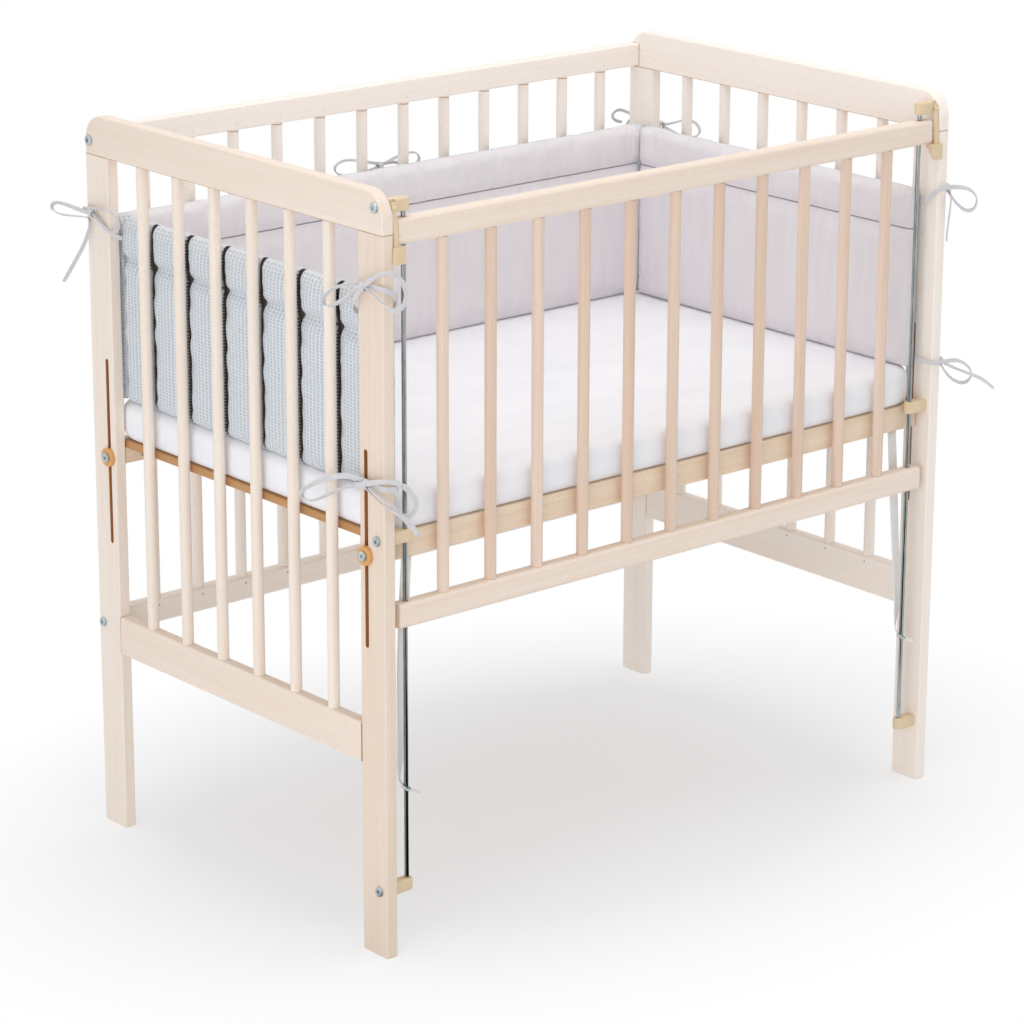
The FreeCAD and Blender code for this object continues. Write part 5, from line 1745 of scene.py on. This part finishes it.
    def pierce(self, piece: bpy.types.Object) -> None:
        """Cuts the eyelet's hole.

        Args:
            piece: the strap.
        """
        eye, _, _, normal = self.eye()
        shell = bmesh.new()
        bmesh.ops.create_cone(shell, cap_ends=True, segments=32, radius1=self.hole, radius2=self.hole,
                              depth=0.02)
        turn = Vector((0, 0, 1)).rotation_difference(Vector(normal)).to_matrix().to_4x4()
        bmesh.ops.transform(shell, matrix=Matrix.Translation(Vector(place(eye))) @ turn, verts=shell.verts)
        data = bpy.data.meshes.new("punch")
        shell.to_mesh(data)
        shell.free()
        punch = bpy.data.objects.new("punch", data)
        bpy.context.scene.collection.objects.link(punch)
        cut = piece.modifiers.new("Hole", "BOOLEAN")
        cut.operation = "DIFFERENCE"
        cut.solver = "EXACT"
        cut.object = punch
        settle(piece)
        bpy.data.objects.remove(punch)


# ---------------------------------------------------------------- studio
@dataclass
class Studio:
    """Pale floor, soft lights and the camera at the photograph's viewing angle.

    Attributes:
        eye: the camera's place in crib millimetres.
        azimuth: direction of view in degrees, from straight at the front.
        elevation: degrees by which it looks down.
        roll: degrees of roll.
        focal: focal length in pixels of the picture.
        sensor: width of the sensor, in millimetres.
        boxes: the soft boxes, each with its name, its place and size in metres, and its power in watts.
        ambient: strength of the even light from all round.
        dark_way: direction of the dark end of the room, which metal reflects.
    """

    eye: Point = (-2692.61, -3377.91, 1939.06)
    azimuth: float = -40.58
    elevation: float = 17.45
    roll: float = 0.19
    focal: float = 3792.98
    sensor: float = 36.0
    boxes: tuple[tuple[str, Point, float, float], ...] = (
        ("key", (-3.0, -1.8, 1.0), 2.4, 30.0), ("fill", (2.8, -2.4, 1.8), 2.4, 8.0),
        ("overhead", (0.0, -0.2, 3.2), 2.6, 27.0))
    ambient: float = 0.70
    dark_way: Point = (-0.65, -0.76, 0.0)

    def camera(self) -> None:
        """Makes the camera."""
        a, e, r = (math.radians(v) for v in (self.azimuth, self.elevation, self.roll))
        ahead = Vector((-math.sin(a) * math.cos(e), math.cos(a) * math.cos(e), -math.sin(e)))
        right = ahead.cross(Vector((0, 0, 1))).normalized()
        up = right.cross(ahead)
        turned = right * math.cos(r) + up * math.sin(r)
        up = up * math.cos(r) - right * math.sin(r)
        data = bpy.data.cameras.new("camera")
        data.sensor_width = self.sensor
        data.sensor_fit = "HORIZONTAL"
        data.lens = self.focal / IMAGE_SIDE * self.sensor
        data.clip_end = 60.0
        made = bpy.data.objects.new("camera", data)
        bpy.context.scene.collection.objects.link(made)
        turn = Matrix((turned, up, -ahead)).transposed()
        made.matrix_world = Matrix.Translation(Vector(place(np.array(self.eye)))) @ turn.to_4x4()
        bpy.context.scene.camera = made

    def floor(self) -> None:
        """Makes the floor, a level grid."""
        step = np.linspace(-9, 9, 19)
        x, y = np.meshgrid(step, step, indexing="ij")
        points = np.stack([x, y, np.zeros_like(x)], -1).reshape(-1, 3)
        made = piece_from("floor", points, grid_faces(len(step), len(step)))
        made.data.materials.append(StudioFloor("studio_floor").material())

    def lights(self) -> None:
        """Makes the soft boxes, all aimed at the crib's middle."""
        aim = Vector((0, 0, 0.45))
        for name, where, size, power in self.boxes:
            data = bpy.data.lights.new(name, "AREA")
            data.shape = "DISK"
            data.size = size
            data.energy = power
            made = bpy.data.objects.new(name, data)
            bpy.context.scene.collection.objects.link(made)
            made.location = where
            made.rotation_euler = (aim - Vector(where)).to_track_quat("-Z", "Y").to_euler()

    def surroundings(self) -> None:
        """Makes the world: even light, white behind the floor, and for metal a white room with a dark end."""
        world = bpy.data.worlds.new("surroundings")
        world.use_nodes = True
        tree = world.node_tree
        tree.nodes.clear()
        rays = add(tree, "LightPath").outputs
        soft = add(tree, "Background", {"Color": "#ffffff", "Strength": self.ambient})
        plain = add(tree, "Background", {"Color": "#ffffff", "Strength": 1.0})
        way = add(tree, "TexCoord").outputs["Generated"]
        towards = add(tree, "VectorMath", {0: way, 1: self.dark_way}, operation="DOT_PRODUCT")
        dark = tinted(tree, "#ffffff", towards.outputs["Value"], 0.72, 0.9, "#141a19")
        room = add(tree, "Background", {"Color": dark, "Strength": 1.0})
        unseen = add(tree, "MixShader", {0: rays["Is Glossy Ray"], 1: soft.outputs[0], 2: room.outputs[0]})
        whole = add(tree, "MixShader", {0: rays["Is Camera Ray"], 1: unseen.outputs[0], 2: plain.outputs[0]})
        add(tree, "OutputWorld", {"Surface": whole.outputs[0]})
        bpy.context.scene.world = world

    def build(self) -> None:
        """Sets up the studio."""
        bpy.context.scene.view_settings.view_transform = "Standard"
        self.camera()
        self.floor()
        self.lights()
        self.surroundings()
        LOG.info("studio ready")


def main() -> None:
    """Builds the studio, dresses the CAD nodes and makes the cloth pieces."""
    logging.basicConfig(level=logging.INFO, format="%(name)s: %(message)s")
    Studio().build()
    Joinery().dress()
    Bedding().build()
    Liner().build()
    WovenBand("cotton_tape", "#e6e4e6", "#c9c6ca", 1.1, 1.3).material()
    WovenBand("white_webbing", "#fbfbf9", "#ebebe8", 1.6, 2.0).material()
    for bow in BOWS:
        bow.build()
    Strap(Side.LEFT, 42.5, 60.0, 0.3173).build()
    Strap(Side.RIGHT, 917.5, 905.0, 0.3168).build()


if __name__ == "__main__":
    main()
